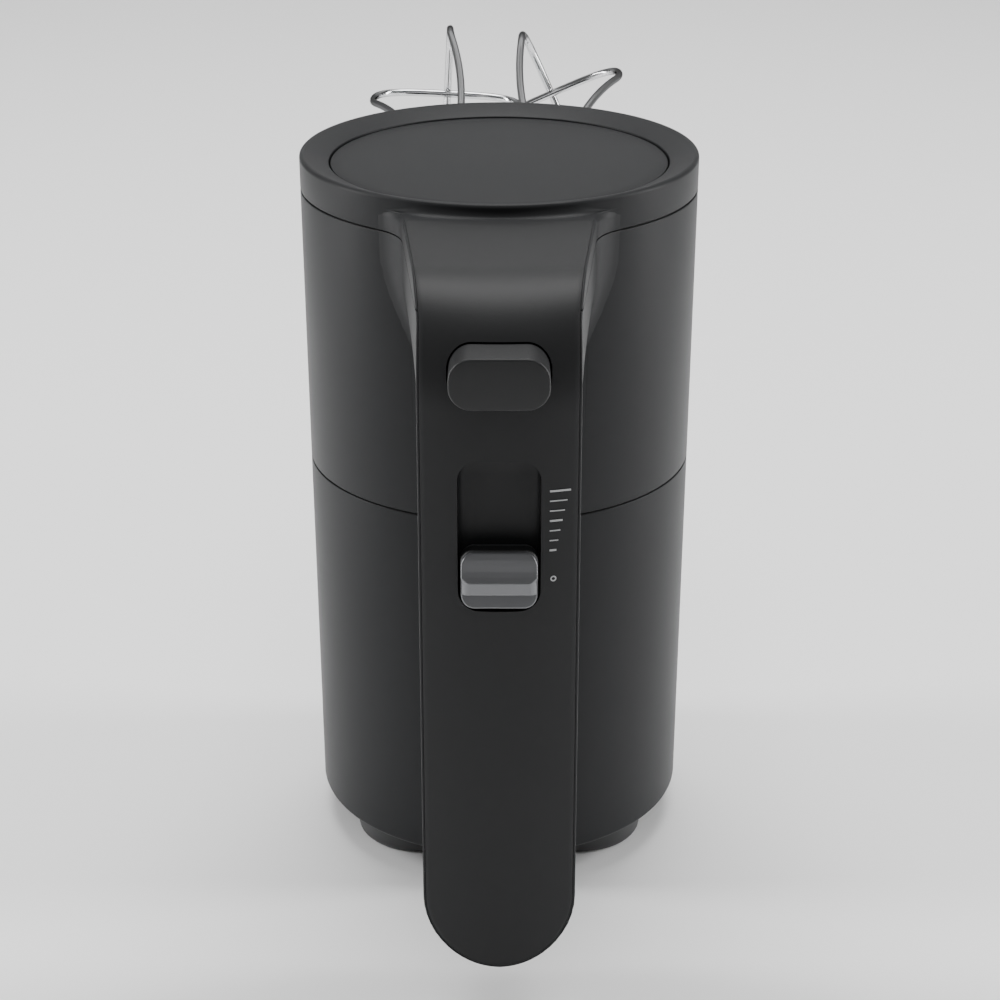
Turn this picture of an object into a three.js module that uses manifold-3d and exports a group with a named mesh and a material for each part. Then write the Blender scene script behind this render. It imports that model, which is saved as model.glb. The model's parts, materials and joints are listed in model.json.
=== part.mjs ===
// A cordless hand mixer standing on its heel: a round body with its axis upright, a grip
// carried on a neck behind it, and two wire beaters that reach forwards.
// Millimetres, +Z up, +Y towards the beaters. The origin is the centre of the heel's underside.
import * as THREE from "three";
import { mergeVertices } from "three/addons/utils/BufferGeometryUtils.js";
import Module from "manifold-3d";

const wasm = await Module();
wasm.setup();

// ---- Driving dimensions ----
const clearance = 0.3; // between pieces that touch or slide
const roundSegments = 48; // facets round the body

const bodyFrontRadius = 45;
const bodyRearRadius = 43.7;
const bodyWall = 2.5;
const footHeight = 7.7;
const rearHousingLength = 86.5;
const frontHousingLength = 64.3;
const noseRingLength = 8.2;
const noseRingWidth = 6.6;
const noseRingSlope = 2.6; // how far the ring's face falls from the rim to the cap
const capThickness = 2.4;

const handleReach = 100; // body axis to the grip's outer face
const gripWidth = 31.8;
const gripDepth = 25;
const gripCrownRadius = 50; // curve of the outer face across the grip
const gripBackRound = 7;
const handleLength = 147.6; // neck's top to the grip's free end
const handleWall = 2.4;
const handleCornerRadius = 22.4;
const neckRoot = 8; // how far the neck is carried into the body
const neckStraight = 8; // from the grip's outer face to where the flare starts
const neckDrop = 3.3; // rim to the neck's top
const neckHeight = 31.7;
const neckFlare = 0.0935; // half-width gained for each millimetre towards the body
const fingerRadius = 14; // inside corner between neck and grip
const coverThickness = 2.4;
const coverRim = 0.55; // housing edge seen on both sides of the cover

const beaterSpacing = 31;
const beaterDrop = 30.3; // rim to the beater axes
const beaterShaftRadius = 3;
const beaterHubRadius = 5.4;
const beaterHubLength = 10;
const beaterHubY = 84;
const beaterWireRadius = 0.95;
const cageRadius = 22;
const cageWidestY = 162;
const cageDomeLength = 17.5;
const cageNeckRadius = 4.1; // wire centres where they leave the hub
const cageTwist = THREE.MathUtils.degToRad(0.55); // turn of the wires for each millimetre
const cagePhases = { left: THREE.MathUtils.degToRad(3), right: THREE.MathUtils.degToRad(-24) };
const beaterSocketDepth = 30; // shaft length inside the spindle

const spindleRadius = 4.75;
const spindleBack = -9;
const wormStarts = 2;
const wormWheelTeeth = 24;
const wormPitchRadius = 4;
const toothHeight = 0.8; // above and below the pitch line
const toothThickness = 1;
const wormLength = 16;
const wormWheelWidth = 5;

const ejectButton = { width: 19.4, height: 10.4, round: 4.5, drop: 18.2, proud: 4.5 };
const ejectTravel = 5;
const ejectButtonLength = 14.5; // face to back
const ejectPinHead = { radius: 3.2, thickness: 2, room: 3.2 };
const speedSlot = { width: 16.3, length: 31.9, round: 4, depth: 3.5, bottomDrop: 67.4 };
const speedKnob = { width: 15, length: 11.9, proud: 3.5 };
const speedTravel = 18;
const knobMargin = 1.3; // knob to the lower end of its slot when off
const speedBoard = { width: 20, depth: 12, below: 14, above: 38 }; // about the slot's lower end

const footWidth = 69;
const footDepth = 59;
const footRound = 15;
const cellRadius = 9.2;
const cellLength = 65;
const cellCount = 3;
const batteryWall = 1.6;
const batteryHeadroom = 4.6; // over the cells, under the top of their case
const latchRadius = 5;
const latchHeight = 24; // above the body's rear face
const latchTravel = 2.5;

const motorRadius = 16;
const motorLength = 29;
const motorShaftRadius = 1.6;
const boardThickness = 1.6;

// ---- Heights and places that follow from them ----
const rearZ = footHeight + clearance;
const midSeamZ = rearZ + rearHousingLength;
const ringSeamZ = midSeamZ + frontHousingLength;
const rimZ = ringSeamZ + noseRingLength;
const seamHalf = clearance / 2;
const capRadius = bodyFrontRadius - noseRingWidth - clearance;
const neckTopZ = rimZ - neckDrop;
const neckUnderZ = neckTopZ - neckHeight;
const gripTipZ = neckTopZ - handleLength;
const gripHalfWidth = gripWidth / 2;
const gripBackY = gripDepth - handleReach;
const beaterZ = rimZ - beaterDrop;
const beaterX = beaterSpacing / 2;
const ejectZ = rimZ - ejectButton.drop;
const slotBottomZ = rimZ - speedSlot.bottomDrop;
const slotMiddleZ = slotBottomZ + speedSlot.length / 2;
const slotFloorY = -handleReach + speedSlot.depth;
const wheelPitchRadius = beaterX - wormPitchRadius;
const wheelTipRadius = wheelPitchRadius + toothHeight;
const gearModule = (2 * wheelPitchRadius) / wormWheelTeeth;
const wormLead = Math.PI * gearModule * wormStarts;
const socketBoreRadius = beaterShaftRadius + clearance;
const bodyRadiusAt = (z) =>
  bodyRearRadius + ((bodyFrontRadius - bodyRearRadius) * (z - rearZ)) / (rimZ - rearZ);
const wallYAt = (x, z) => Math.sqrt(bodyRadiusAt(z) ** 2 - x ** 2);

// ---- Materials ----
const finish = (color, roughness, metalness = 0) =>
  new THREE.MeshStandardMaterial({ color, roughness, metalness });
const charcoal = finish(0x2c2d2f, 0.55);
const coverCharcoal = finish(0x27282a, 0.5);
const capCharcoal = finish(0x303133, 0.5);
const satinGrey = finish(0x8b8d90, 0.35, 0.7);
const footBlack = finish(0x1b1c1d, 0.7);
const polishedSteel = finish(0xc9cbcd, 0.15, 1);
const steel = finish(0x9a9c9f, 0.35, 1);
const springSteel = finish(0xb4b6b8, 0.3, 1);
const gearNylon = finish(0xe6e2d6, 0.5);
const brass = finish(0xb8974a, 0.35, 1);
const copper = finish(0xb06a3c, 0.35, 1);
const magnetGrey = finish(0x4a4b4d, 0.7);
const frameBlack = finish(0x202123, 0.6);
const boardGreen = finish(0x1f6b3a, 0.5);
const cellBlue = finish(0x2f5f9e, 0.45);
const redLead = finish(0xb02020, 0.5);
const blackLead = finish(0x151515, 0.5);

// ---- Solids ----

// A closed geometry as a solid that can be joined and cut.
function solid(geometry) {
  const bare = geometry.clone();
  bare.deleteAttribute("normal");
  bare.deleteAttribute("uv");
  const merged = mergeVertices(bare, 1e-4);
  const corners = merged.index.array;
  const kept = [];
  for (let i = 0; i < corners.length; i += 3) {
    const [a, b, c] = corners.slice(i, i + 3);
    if (a !== b && b !== c && c !== a) kept.push(a, b, c);
  }
  const vertProperties = merged.attributes.position.array;
  return new wasm.Manifold(
    new wasm.Mesh({ numProp: 3, vertProperties, triVerts: new Uint32Array(kept) }),
  );
}

const join = (first, ...others) => others.reduce((sum, other) => sum.add(other), first);
const cut = (first, ...others) => others.reduce((rest, other) => rest.subtract(other), first);
const common = (first, ...others) => others.reduce((part, other) => part.intersect(other), first);

// A solid back as a geometry.
function surface(manifold) {
  const mesh = manifold.getMesh();
  const geometry = new THREE.BufferGeometry();
  const positions = new Float32Array(mesh.vertProperties);
  geometry.setAttribute("position", new THREE.BufferAttribute(positions, 3));
  geometry.setIndex(new THREE.BufferAttribute(new Uint32Array(mesh.triVerts), 1));
  geometry.computeVertexNormals();
  return geometry;
}

// Corner points [x, y, radius] as an outline whose corners are rounded by their radius.
function roundedOutline(corners, steps = 6) {
  const outline = [];
  corners.forEach(([x, y, radius = 0], i) => {
    const here = new THREE.Vector2(x, y);
    if (radius <= 0) {
      outline.push(here);
      return;
    }
    const [beforeX, beforeY] = corners.at(i - 1);
    const [afterX, afterY] = corners[(i + 1) % corners.length];
    const before = new THREE.Vector2(beforeX, beforeY).sub(here).normalize();
    const after = new THREE.Vector2(afterX, afterY).sub(here).normalize();
    const half = Math.acos(before.dot(after)) / 2;
    const tangent = radius / Math.tan(half);
    const toCentre = before.clone().add(after).normalize();
    const centre = here.clone().addScaledVector(toCentre, radius / Math.sin(half));
    const startAngle = here.clone().addScaledVector(before, tangent).sub(centre).angle();
    const endAngle = here.clone().addScaledVector(after, tangent).sub(centre).angle();
    const turn = ((endAngle - startAngle + 3 * Math.PI) % (2 * Math.PI)) - Math.PI;
    for (let step = 0; step <= steps; step++) {
      const angle = startAngle + (turn * step) / steps;
      const spoke = new THREE.Vector2(Math.cos(angle), Math.sin(angle));
      outline.push(centre.clone().addScaledVector(spoke, radius));
    }
  });
  return outline;
}

// A centred rectangle with round corners.
const roundedRectangle = (width, height, radius, steps = 6) =>
  roundedOutline(
    [
      [-width / 2, -height / 2, radius],
      [width / 2, -height / 2, radius],
      [width / 2, height / 2, radius],
      [-width / 2, height / 2, radius],
    ],
    steps,
  );

const basis = {
  x: new THREE.Matrix4().makeBasis(
    new THREE.Vector3(0, 1, 0),
    new THREE.Vector3(0, 0, 1),
    new THREE.Vector3(1, 0, 0),
  ),
  y: new THREE.Matrix4().makeBasis(
    new THREE.Vector3(1, 0, 0),
    new THREE.Vector3(0, 0, 1),
    new THREE.Vector3(0, -1, 0),
  ),
  z: new THREE.Matrix4(),
};

// An outline pushed along an axis between two places on it. The outline is (y, z) for the
// X axis, (x, z) for the Y axis and (x, y) for the Z axis.
function prism(outline, axis, from, to, holes = []) {
  const shape = new THREE.Shape(outline);
  shape.holes = holes.map((hole) => new THREE.Path(hole));
  const geometry = new THREE.ExtrudeGeometry(shape, { depth: to - from, bevelEnabled: false });
  geometry.translate(0, 0, axis === "y" ? -to : from);
  return geometry.applyMatrix4(basis[axis]);
}

// A box given by its lower and upper limits on each axis.
function box([x0, x1], [y0, y1], [z0, z1]) {
  const geometry = new THREE.BoxGeometry(x1 - x0, y1 - y0, z1 - z0);
  return geometry.translate((x0 + x1) / 2, (y0 + y1) / 2, (z0 + z1) / 2);
}

// A profile of [radius, height] points turned about the Z axis.
function turned(profile, segments = roundSegments) {
  const points = profile.map(([radius, height]) => new THREE.Vector2(radius, height));
  if (THREE.ShapeUtils.area(points) < 0) points.reverse();
  const onAxis = points[0].x === 0 && points.at(-1).x === 0;
  if (!onAxis) points.push(points[0].clone());
  return new THREE.LatheGeometry(points, segments).rotateX(Math.PI / 2);
}

const rod = (radius, from, to, segments = 16) =>
  turned([[0, from], [radius, from], [radius, to], [0, to]], segments);

const ring = (outer, inner, from, to, segments = 20) =>
  turned([[inner, from], [outer, from], [outer, to], [inner, to]], segments);

// Turns a geometry made along Z so that it lies along Y.
const alongY = (geometry) => geometry.rotateX(-Math.PI / 2);

// Twists a geometry about the Z axis, by nothing at the height given.
function twisted(geometry, radiansPerMillimetre, restHeight = 0) {
  const position = geometry.attributes.position;
  const point = new THREE.Vector3();
  const axis = new THREE.Vector3(0, 0, 1);
  for (let i = 0; i < position.count; i++) {
    point.fromBufferAttribute(position, i);
    point.applyAxisAngle(axis, (point.z - restHeight) * radiansPerMillimetre);
    position.setXYZ(i, point.x, point.y, point.z);
  }
  return geometry;
}

// A round wire along a curve.
function wire(curve, radius, steps, sides = 6) {
  const section = new THREE.Shape(new THREE.EllipseCurve(0, 0, radius, radius).getPoints(sides));
  return new THREE.ExtrudeGeometry(section, { steps, extrudePath: curve, bevelEnabled: false });
}

class Helix extends THREE.Curve {
  constructor(radius, length, turns) {
    super();
    Object.assign(this, { radius, length, turns });
  }
  getPoint(t, target = new THREE.Vector3()) {
    const angle = t * this.turns * 2 * Math.PI;
    const { radius } = this;
    return target.set(radius * Math.cos(angle), radius * Math.sin(angle), t * this.length);
  }
}

const coilSpring = (radius, wireRadius, length, turns) =>
  wire(new Helix(radius, length - 2 * wireRadius, turns), wireRadius, turns * 8, 5).translate(
    0,
    0,
    wireRadius,
  );

const mixer = new THREE.Group();

function add(parent, name, shape, material) {
  const geometry = shape.isBufferGeometry ? shape : surface(shape);
  const mesh = new THREE.Mesh(geometry, material.clone());
  mesh.name = name;
  parent.add(mesh);
  return mesh;
}

function subgroup(parent, x = 0, y = 0, z = 0) {
  const group = new THREE.Group();
  group.position.set(x, y, z);
  parent.add(group);
  return group;
}

// ---- Handle envelope ----
// Each solid takes how far it lies inside the handle's outer face, its sides and its back.

const neckInsideY = -bodyRearRadius + neckRoot;

function sideOutline(face, back) {
  const top = neckTopZ - face;
  const outer = -handleReach + face;
  const inner = gripBackY - back;
  const under = neckUnderZ + back;
  const foot = gripTipZ - 4;
  return roundedOutline([
    [neckInsideY, top],
    [outer, top, handleCornerRadius - face],
    [outer, foot],
    [inner, foot],
    [inner, under, fingerRadius + back],
    [neckInsideY, under],
  ], 8);
}

const crownAt = (x) => gripCrownRadius - Math.sqrt(gripCrownRadius ** 2 - x ** 2);

function crownedFace(face, halfWidth) {
  const steps = 8;
  return Array.from({ length: steps + 1 }, (_, i) => {
    const x = halfWidth * (1 - (2 * i) / steps);
    return [x, -handleReach + face + crownAt(x)];
  });
}

function neckOutline(face, side) {
  const straightY = -handleReach + neckStraight;
  const halfWidthAt = (y) => gripHalfWidth - side + neckFlare * (y - straightY);
  const halfWidth = gripHalfWidth - side;
  const corners = [
    [-halfWidth, straightY],
    [-halfWidthAt(neckInsideY), neckInsideY],
    [halfWidthAt(neckInsideY), neckInsideY],
    [halfWidth, straightY],
    ...crownedFace(face, halfWidth),
  ];
  return roundedOutline(corners.reverse());
}

function gripOutline(face, side, back) {
  const halfWidth = gripHalfWidth - side;
  const innerY = gripBackY - back;
  const round = gripBackRound - Math.max(side, 0);
  return roundedOutline([
    [-halfWidth, innerY, round],
    [halfWidth, innerY, round],
    ...crownedFace(face, halfWidth),
  ].reverse(), 5);
}

// The grip's free end is a half circle as wide as the grip.
function endOutline(side) {
  const radius = gripHalfWidth - side;
  const centreZ = gripTipZ + gripHalfWidth;
  const wide = 2 * gripHalfWidth;
  const high = rimZ + 20;
  const steps = 16;
  const end = Array.from({ length: steps + 1 }, (_, i) => {
    const angle = Math.PI + (Math.PI * i) / steps;
    return new THREE.Vector2(radius * Math.cos(angle), centreZ + radius * Math.sin(angle));
  });
  return [
    new THREE.Vector2(-wide, centreZ),
    ...end,
    new THREE.Vector2(wide, centreZ),
    new THREE.Vector2(wide, high),
    new THREE.Vector2(-wide, high),
  ];
}

function handleEnvelope(face, side, back) {
  const wide = 2 * gripHalfWidth;
  const neckFromZ = neckUnderZ - fingerRadius - 1;
  const profile = solid(prism(sideOutline(face, back), "x", -wide, wide));
  const neck = solid(prism(neckOutline(face, side), "z", neckFromZ, rimZ));
  const grip = solid(prism(gripOutline(face, side, back), "z", gripTipZ - 10, rimZ));
  const end = solid(prism(endOutline(side), "y", -handleReach - 10, 0));
  return common(join(neck, grip), profile, end);
}

const beyond = -3; // an inset that reaches past the surface
const handleOuter = handleEnvelope(0, 0, 0);
const handleCavity = handleEnvelope(1, handleWall, handleWall);
const coverBed = cut(
  handleEnvelope(-1, coverRim, 0),
  handleEnvelope(coverThickness + clearance, beyond, beyond),
);

// ---- Body shells ----

// A solid of the body's outer shape, drawn in by an inset, between two heights.
const bodySolid = (inset, from, to) =>
  solid(turned([
    [0, from],
    [bodyRadiusAt(from) - inset, from],
    [bodyRadiusAt(to) - inset, to],
    [0, to],
  ]));

const below = (z) => solid(box([-150, 150], [-150, 150], [-50, z]));
const above = (z) => solid(box([-150, 150], [-150, 150], [z, 300]));

const batteryHalfDepth = cellRadius + 2 * clearance + batteryWall;
const batteryHalfWidth = (cellCount - 1) * (cellRadius + clearance) + batteryHalfDepth;
const batteryRound = cellRadius;
const batteryTopZ = rearZ + cellLength + 2 * clearance + batteryWall + batteryHeadroom;
const batteryOutline = (grow) =>
  roundedRectangle(
    2 * (batteryHalfWidth + grow),
    2 * (batteryHalfDepth + grow),
    batteryRound + grow,
    5,
  );
const channelClearance = 0.4;
const channelWall = 1.5;
const floorThickness = 3;
const screwShank = 1.4;
const screwHead = 2.5;
const screwRecess = 2;
const screwLength = 13;
const bossWall = 1.1;
const bossLength = screwLength + 1;
const bossInset = 0.3; // boss to the body's inner wall
const screwRing = [0, 1, 2, 3].map((quarter) => {
  const angle = (quarter * Math.PI) / 2;
  const radius = bodyRearRadius - bodyWall - screwHead - bossWall - bossInset;
  return { name: ["right", "front", "left", "back"][quarter], angle, radius };
});

const socketCollarRadius = 8.2;
const latchZ = rearZ + latchHeight;

function rearHousing() {
  const edge = 1.2;
  const top = midSeamZ - seamHalf;
  const outside = solid(turned([
    [0, rearZ],
    [bodyRadiusAt(rearZ) - edge, rearZ],
    [bodyRadiusAt(rearZ) - edge * 0.3, rearZ + edge * 0.3],
    [bodyRadiusAt(rearZ + edge), rearZ + edge],
    [bodyRadiusAt(top), top],
    [0, top],
  ]));
  const shell = cut(outside, bodySolid(bodyWall, rearZ + floorThickness, top + 1));
  const channelTop = batteryTopZ - 2;
  const grow = channelClearance + channelWall;
  const channel = solid(prism(batteryOutline(grow), "z", rearZ, channelTop));
  const bosses = screwRing.map(({ angle, radius }) =>
    solid(rod(screwHead + bossWall, rearZ, rearZ + bossLength, 12)
      .translate(radius * Math.cos(angle), radius * Math.sin(angle), 0)));
  const screwHoles = screwRing.map(({ angle, radius }) =>
    solid(turned([
      [0, rearZ - 1],
      [screwHead + clearance, rearZ - 1],
      [screwHead + clearance, rearZ + screwRecess],
      [screwShank + clearance, rearZ + screwRecess],
      [screwShank + clearance, rearZ + bossLength + 1],
      [0, rearZ + bossLength + 1],
    ], 12).translate(radius * Math.cos(angle), radius * Math.sin(angle), 0)));
  const mouth = solid(prism(batteryOutline(channelClearance), "z", rearZ - 1, channelTop + 1));
  const latchHoleRadius = latchRadius + channelClearance;
  const latchWay = alongY(rod(latchHoleRadius, bodyRearRadius * 0.7, bodyRearRadius + 10, 24));
  const latchHole = solid(latchWay.translate(0, 0, latchZ));
  const inside = common(join(channel, ...bosses), bodySolid(1, rearZ, top));
  return cut(join(shell, inside), mouth, latchHole, ...screwHoles);
}

function socketHoles() {
  return [-beaterX, beaterX].map((x) =>
    solid(alongY(rod(socketCollarRadius + clearance, 20, 80, 20)).translate(x, 0, beaterZ)));
}

const springSeatY = gripBackY;
const springSeatThickness = 2;
const leadX = 7;
const leadZ = ejectZ - 7;
const leadHoleRadius = 2;
const ejectRodRadius = 2.2;

function frontHousing() {
  const from = midSeamZ + seamHalf;
  const to = ringSeamZ - seamHalf;
  const hollow = bodySolid(bodyWall, from - 1, to + 1);
  const shell = join(bodySolid(0, from, to), common(handleOuter, below(to)));
  const holeFrom = springSeatY - 10;
  const holeTo = springSeatY + 10;
  const rodHole = solid(alongY(rod(ejectRodRadius + 2 * clearance, holeFrom, holeTo)));
  const leadHole = solid(alongY(rod(leadHoleRadius, holeFrom, holeTo, 12)));
  const seat = cut(
    common(
      solid(box(
        [-gripWidth, gripWidth],
        [springSeatY, springSeatY + springSeatThickness],
        [neckUnderZ, to],
      )),
      handleEnvelope(4, 1, 1),
    ),
    rodHole.translate([0, 0, ejectZ]),
    leadHole.translate([leadX, 0, leadZ]),
    leadHole.translate([-leadX, 0, leadZ]),
  );
  const open = cut(shell, hollow, handleCavity, coverBed, ...socketHoles());
  return join(open, common(seat, below(to)));
}

function noseRing() {
  const from = ringSeamZ + seamHalf;
  const innerRadius = bodyFrontRadius - noseRingWidth;
  const innerZ = rimZ - noseRingSlope;
  const lipDepth = capThickness + 2.4;
  const round = 0.8;
  const lipWidth = 2.5;
  const hoop = solid(turned([
    [bodyRadiusAt(from) - bodyWall, from],
    [bodyRadiusAt(from), from],
    [bodyFrontRadius, rimZ - round],
    [bodyFrontRadius - 0.3 * round, rimZ - 0.3 * round],
    [bodyFrontRadius - round, rimZ],
    [innerRadius, innerZ],
    [innerRadius, innerZ - capThickness - clearance],
    [innerRadius - lipWidth, innerZ - capThickness - clearance],
    [innerRadius - lipWidth, innerZ - lipDepth],
    [bodyRadiusAt(from) - bodyWall, innerZ - lipDepth],
  ]));
  const neckSlice = cut(
    common(handleOuter, above(from)),
    bodySolid(1, from - 1, rimZ + 1),
    coverBed,
  );
  return join(hoop, neckSlice);
}

function frontCap() {
  const topZ = rimZ - noseRingSlope - 0.2;
  const bottomZ = rimZ - noseRingSlope - capThickness;
  const dome = 0.7;
  return turned([
    [0, bottomZ],
    [capRadius, bottomZ],
    [capRadius, topZ - 0.4],
    [capRadius - 0.4, topZ],
    [capRadius * 0.6, topZ + dome * 0.64],
    [capRadius * 0.3, topZ + dome * 0.91],
    [0, topZ + dome],
  ]);
}

// ---- Cover over the grip and the neck ----

const slotOutline = (grow) =>
  roundedRectangle(
    speedSlot.width + 2 * grow,
    speedSlot.length + 2 * grow,
    speedSlot.round + grow,
  ).map((point) => point.add(new THREE.Vector2(0, slotMiddleZ)));
const buttonOutline = (grow) =>
  roundedRectangle(
    ejectButton.width + 2 * grow,
    ejectButton.height + 2 * grow,
    ejectButton.round + grow,
  ).map((point) => point.add(new THREE.Vector2(0, ejectZ)));

const trayFloor = 2; // thickness under the slot
const knobBottomZ = slotBottomZ + knobMargin;
const knobMiddleZ = knobBottomZ + speedKnob.length / 2;
const buttonClearance = 0.4;
const stemHalfWidth = 1.5;
const stemHalfLength = 2.5;

function handleCover() {
  const skin = cut(
    handleEnvelope(0, coverRim + clearance, 0),
    handleEnvelope(coverThickness, beyond, beyond),
    bodySolid(-clearance - 0.2, ringSeamZ - 20, rimZ + 20),
  );
  const trayWall = 1.6;
  const trayY = slotFloorY + trayFloor;
  const tray = common(
    solid(prism(slotOutline(trayWall), "y", -handleReach - 5, trayY)),
    handleEnvelope(0.2, coverRim + clearance, 0),
  );
  const well = solid(prism(slotOutline(0), "y", -handleReach - 5, slotFloorY));
  const stemSlot = roundedRectangle(
    2 * (stemHalfWidth + clearance),
    2 * (stemHalfLength + clearance) + speedTravel,
    1,
  ).map((point) => point.add(new THREE.Vector2(0, knobMiddleZ + speedTravel / 2)));
  return cut(
    join(skin, tray),
    well,
    solid(prism(stemSlot, "y", -handleReach, trayY + 5)),
    solid(prism(buttonOutline(buttonClearance), "y", -handleReach - 5, gripBackY - 8)),
  );
}

// ---- Housing group ----

const housing = subgroup(mixer);
add(housing, "rear_housing", rearHousing(), charcoal);
add(housing, "front_housing", frontHousing(), charcoal);
add(housing, "nose_ring", noseRing(), charcoal);
add(housing, "front_cap", frontCap(), capCharcoal);
add(housing, "handle_cover", handleCover(), coverCharcoal);

screwRing.forEach(({ name, angle, radius }) => {
  const holder = subgroup(housing, radius * Math.cos(angle), radius * Math.sin(angle), rearZ);
  const screw = turned([
    [0, 0.3],
    [screwHead * 0.8, 0.3],
    [screwHead, 0.7],
    [screwHead, screwRecess - clearance],
    [screwShank, screwRecess - clearance],
    [screwShank, screwLength - 1],
    [0, screwLength],
  ], 12);
  const slotHalf = screwHead * 0.7;
  const driverSlot = box([-0.5, 0.5], [-slotHalf, slotHalf], [-1, 1]);
  add(holder, `rear_screw_${name}`, cut(solid(screw), solid(driverSlot)), steel);
});

// ---- Speed control ----

const boardY = -handleReach + speedBoard.depth;
add(
  housing,
  "speed_board",
  box(
    [-speedBoard.width / 2, speedBoard.width / 2],
    [boardY - boardThickness, boardY],
    [slotBottomZ - speedBoard.below, slotBottomZ + speedBoard.above],
  ),
  boardGreen,
);

const speedControl = subgroup(mixer, 0, 0, knobBottomZ);
const knobBaseY = slotFloorY - clearance;
const knobProfile = [
  [knobBaseY, 0],
  [-handleReach - 0.7, 0],
  [-handleReach - 0.7, 3.6],
  [-handleReach - speedKnob.proud + 0.4, 3.9],
  [-handleReach - speedKnob.proud, 4.6],
  [-handleReach - speedKnob.proud, 6.8],
  [-handleReach - speedKnob.proud + 1.1, 9],
  [-handleReach - 0.7, speedKnob.length],
  [knobBaseY, speedKnob.length],
].map(([y, z]) => new THREE.Vector2(y, z));
const knobFace = roundedRectangle(speedKnob.width, speedKnob.length, 3.6, 5)
  .map((point) => point.add(new THREE.Vector2(0, speedKnob.length / 2)));
const knobBody = common(
  solid(prism(knobProfile, "x", -speedKnob.width, speedKnob.width)),
  solid(prism(knobFace, "y", -handleReach - 10, 0)),
);
const carriageY = slotFloorY + trayFloor + clearance;
const knobStem = box(
  [-stemHalfWidth, stemHalfWidth],
  [knobBaseY - 1, carriageY - clearance],
  [speedKnob.length / 2 - stemHalfLength, speedKnob.length / 2 + stemHalfLength],
);
add(speedControl, "speed_knob", join(knobBody, solid(knobStem)), satinGrey);
add(
  speedControl,
  "speed_wiper",
  box([-6, 6], [carriageY, boardY - boardThickness - 2 * clearance], [1, speedKnob.length - 1]),
  frameBlack,
);

// ---- Battery pack ----

const battery = subgroup(mixer);
add(
  battery,
  "battery_base",
  (() => {
    const outline = (inset) =>
      roundedRectangle(footWidth - 2 * inset, footDepth - 2 * inset, footRound - inset, 6);
    const chamfer = 1.2;
    const layers = [
      solid(prism(outline(0), "z", chamfer, footHeight)),
      solid(prism(outline(chamfer * 0.35), "z", chamfer * 0.35, footHeight)),
      solid(prism(outline(chamfer), "z", 0, footHeight)),
    ];
    return join(...layers);
  })(),
  footBlack,
);
const contactX = 9;
const contact = { halfThickness: 0.4, halfWidth: 4, depth: 4, room: 0.8 };
function contactSlot(x) {
  const halfThickness = contact.halfThickness + contact.room;
  const halfWidth = contact.halfWidth + contact.room + 0.2;
  return box(
    [x - halfThickness, x + halfThickness],
    [-halfWidth, halfWidth],
    [batteryTopZ - contact.depth - 2, batteryTopZ + 1],
  );
}
const caseInside = prism(batteryOutline(-batteryWall), "z", 0, batteryTopZ - batteryWall);
add(
  battery,
  "battery_case",
  cut(
    solid(prism(batteryOutline(0), "z", footHeight + clearance, batteryTopZ)),
    solid(caseInside),
    solid(contactSlot(-contactX)),
    solid(contactSlot(contactX)),
  ),
  frameBlack,
);
const cellNames = ["left", "middle", "right"];
cellNames.forEach((name, i) => {
  const x = (i - (cellCount - 1) / 2) * (2 * cellRadius + 2 * clearance);
  const cell = turned([
    [0, 0],
    [cellRadius, 0],
    [cellRadius, cellLength - 1.5],
    [3, cellLength - 1.5],
    [3, cellLength],
    [0, cellLength],
  ], 18);
  add(subgroup(battery, x, 0, footHeight + 2 * clearance), `cell_${name}`, cell, cellBlue);
});

// ---- Battery latch ----

const latchProud = 0.6;
const latchCapLength = 7;
const latchOuterY = bodyRadiusAt(latchZ) + latchProud;
const channelOuterY = batteryHalfDepth + channelClearance + channelWall;
const latchTipY = channelOuterY + latchTravel + clearance;
const latch = subgroup(mixer, 0, 0, latchZ);
add(
  latch,
  "latch_button",
  alongY(turned([
    [0, latchTipY],
    [2, latchTipY],
    [2, latchOuterY - latchCapLength],
    [latchRadius, latchOuterY - latchCapLength],
    [latchRadius, latchOuterY - 0.6],
    [latchRadius - 0.6, latchOuterY],
    [0, latchOuterY],
  ], 24)),
  frameBlack,
);
const latchSpringLength = latchOuterY - latchCapLength - clearance - (channelOuterY + clearance);
add(
  subgroup(latch, 0, channelOuterY + clearance, 0),
  "latch_spring",
  alongY(coilSpring(3.6, 0.4, latchSpringLength, 5)),
  springSteel,
);

// ---- Terminals and control board ----

const terminalZ = batteryTopZ + 1;
const terminal = { halfWidth: 18, halfDepth: 8, height: 3 };
const blades = [-contactX, contactX].map((x) =>
  solid(box(
    [x - contact.halfThickness, x + contact.halfThickness],
    [-contact.halfWidth, contact.halfWidth],
    [batteryTopZ - contact.depth, terminalZ + 1],
  )));
const terminalBody = box(
  [-terminal.halfWidth, terminal.halfWidth],
  [-terminal.halfDepth, terminal.halfDepth],
  [terminalZ, terminalZ + terminal.height],
);
add(housing, "terminal_block", join(solid(terminalBody), ...blades), frameBlack);

const motorBaseZ = terminalZ + terminal.height + clearance;
const endCapHeight = 3;
const canBaseZ = motorBaseZ + endCapHeight + clearance;
const canTopZ = canBaseZ + motorLength;
const controlBoardY = -30;
const controlBoardHalf = 18;
add(
  housing,
  "control_board",
  box(
    [-controlBoardHalf, controlBoardHalf],
    [controlBoardY - boardThickness, controlBoardY],
    [motorBaseZ, canTopZ - 2],
  ),
  boardGreen,
);

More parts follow.
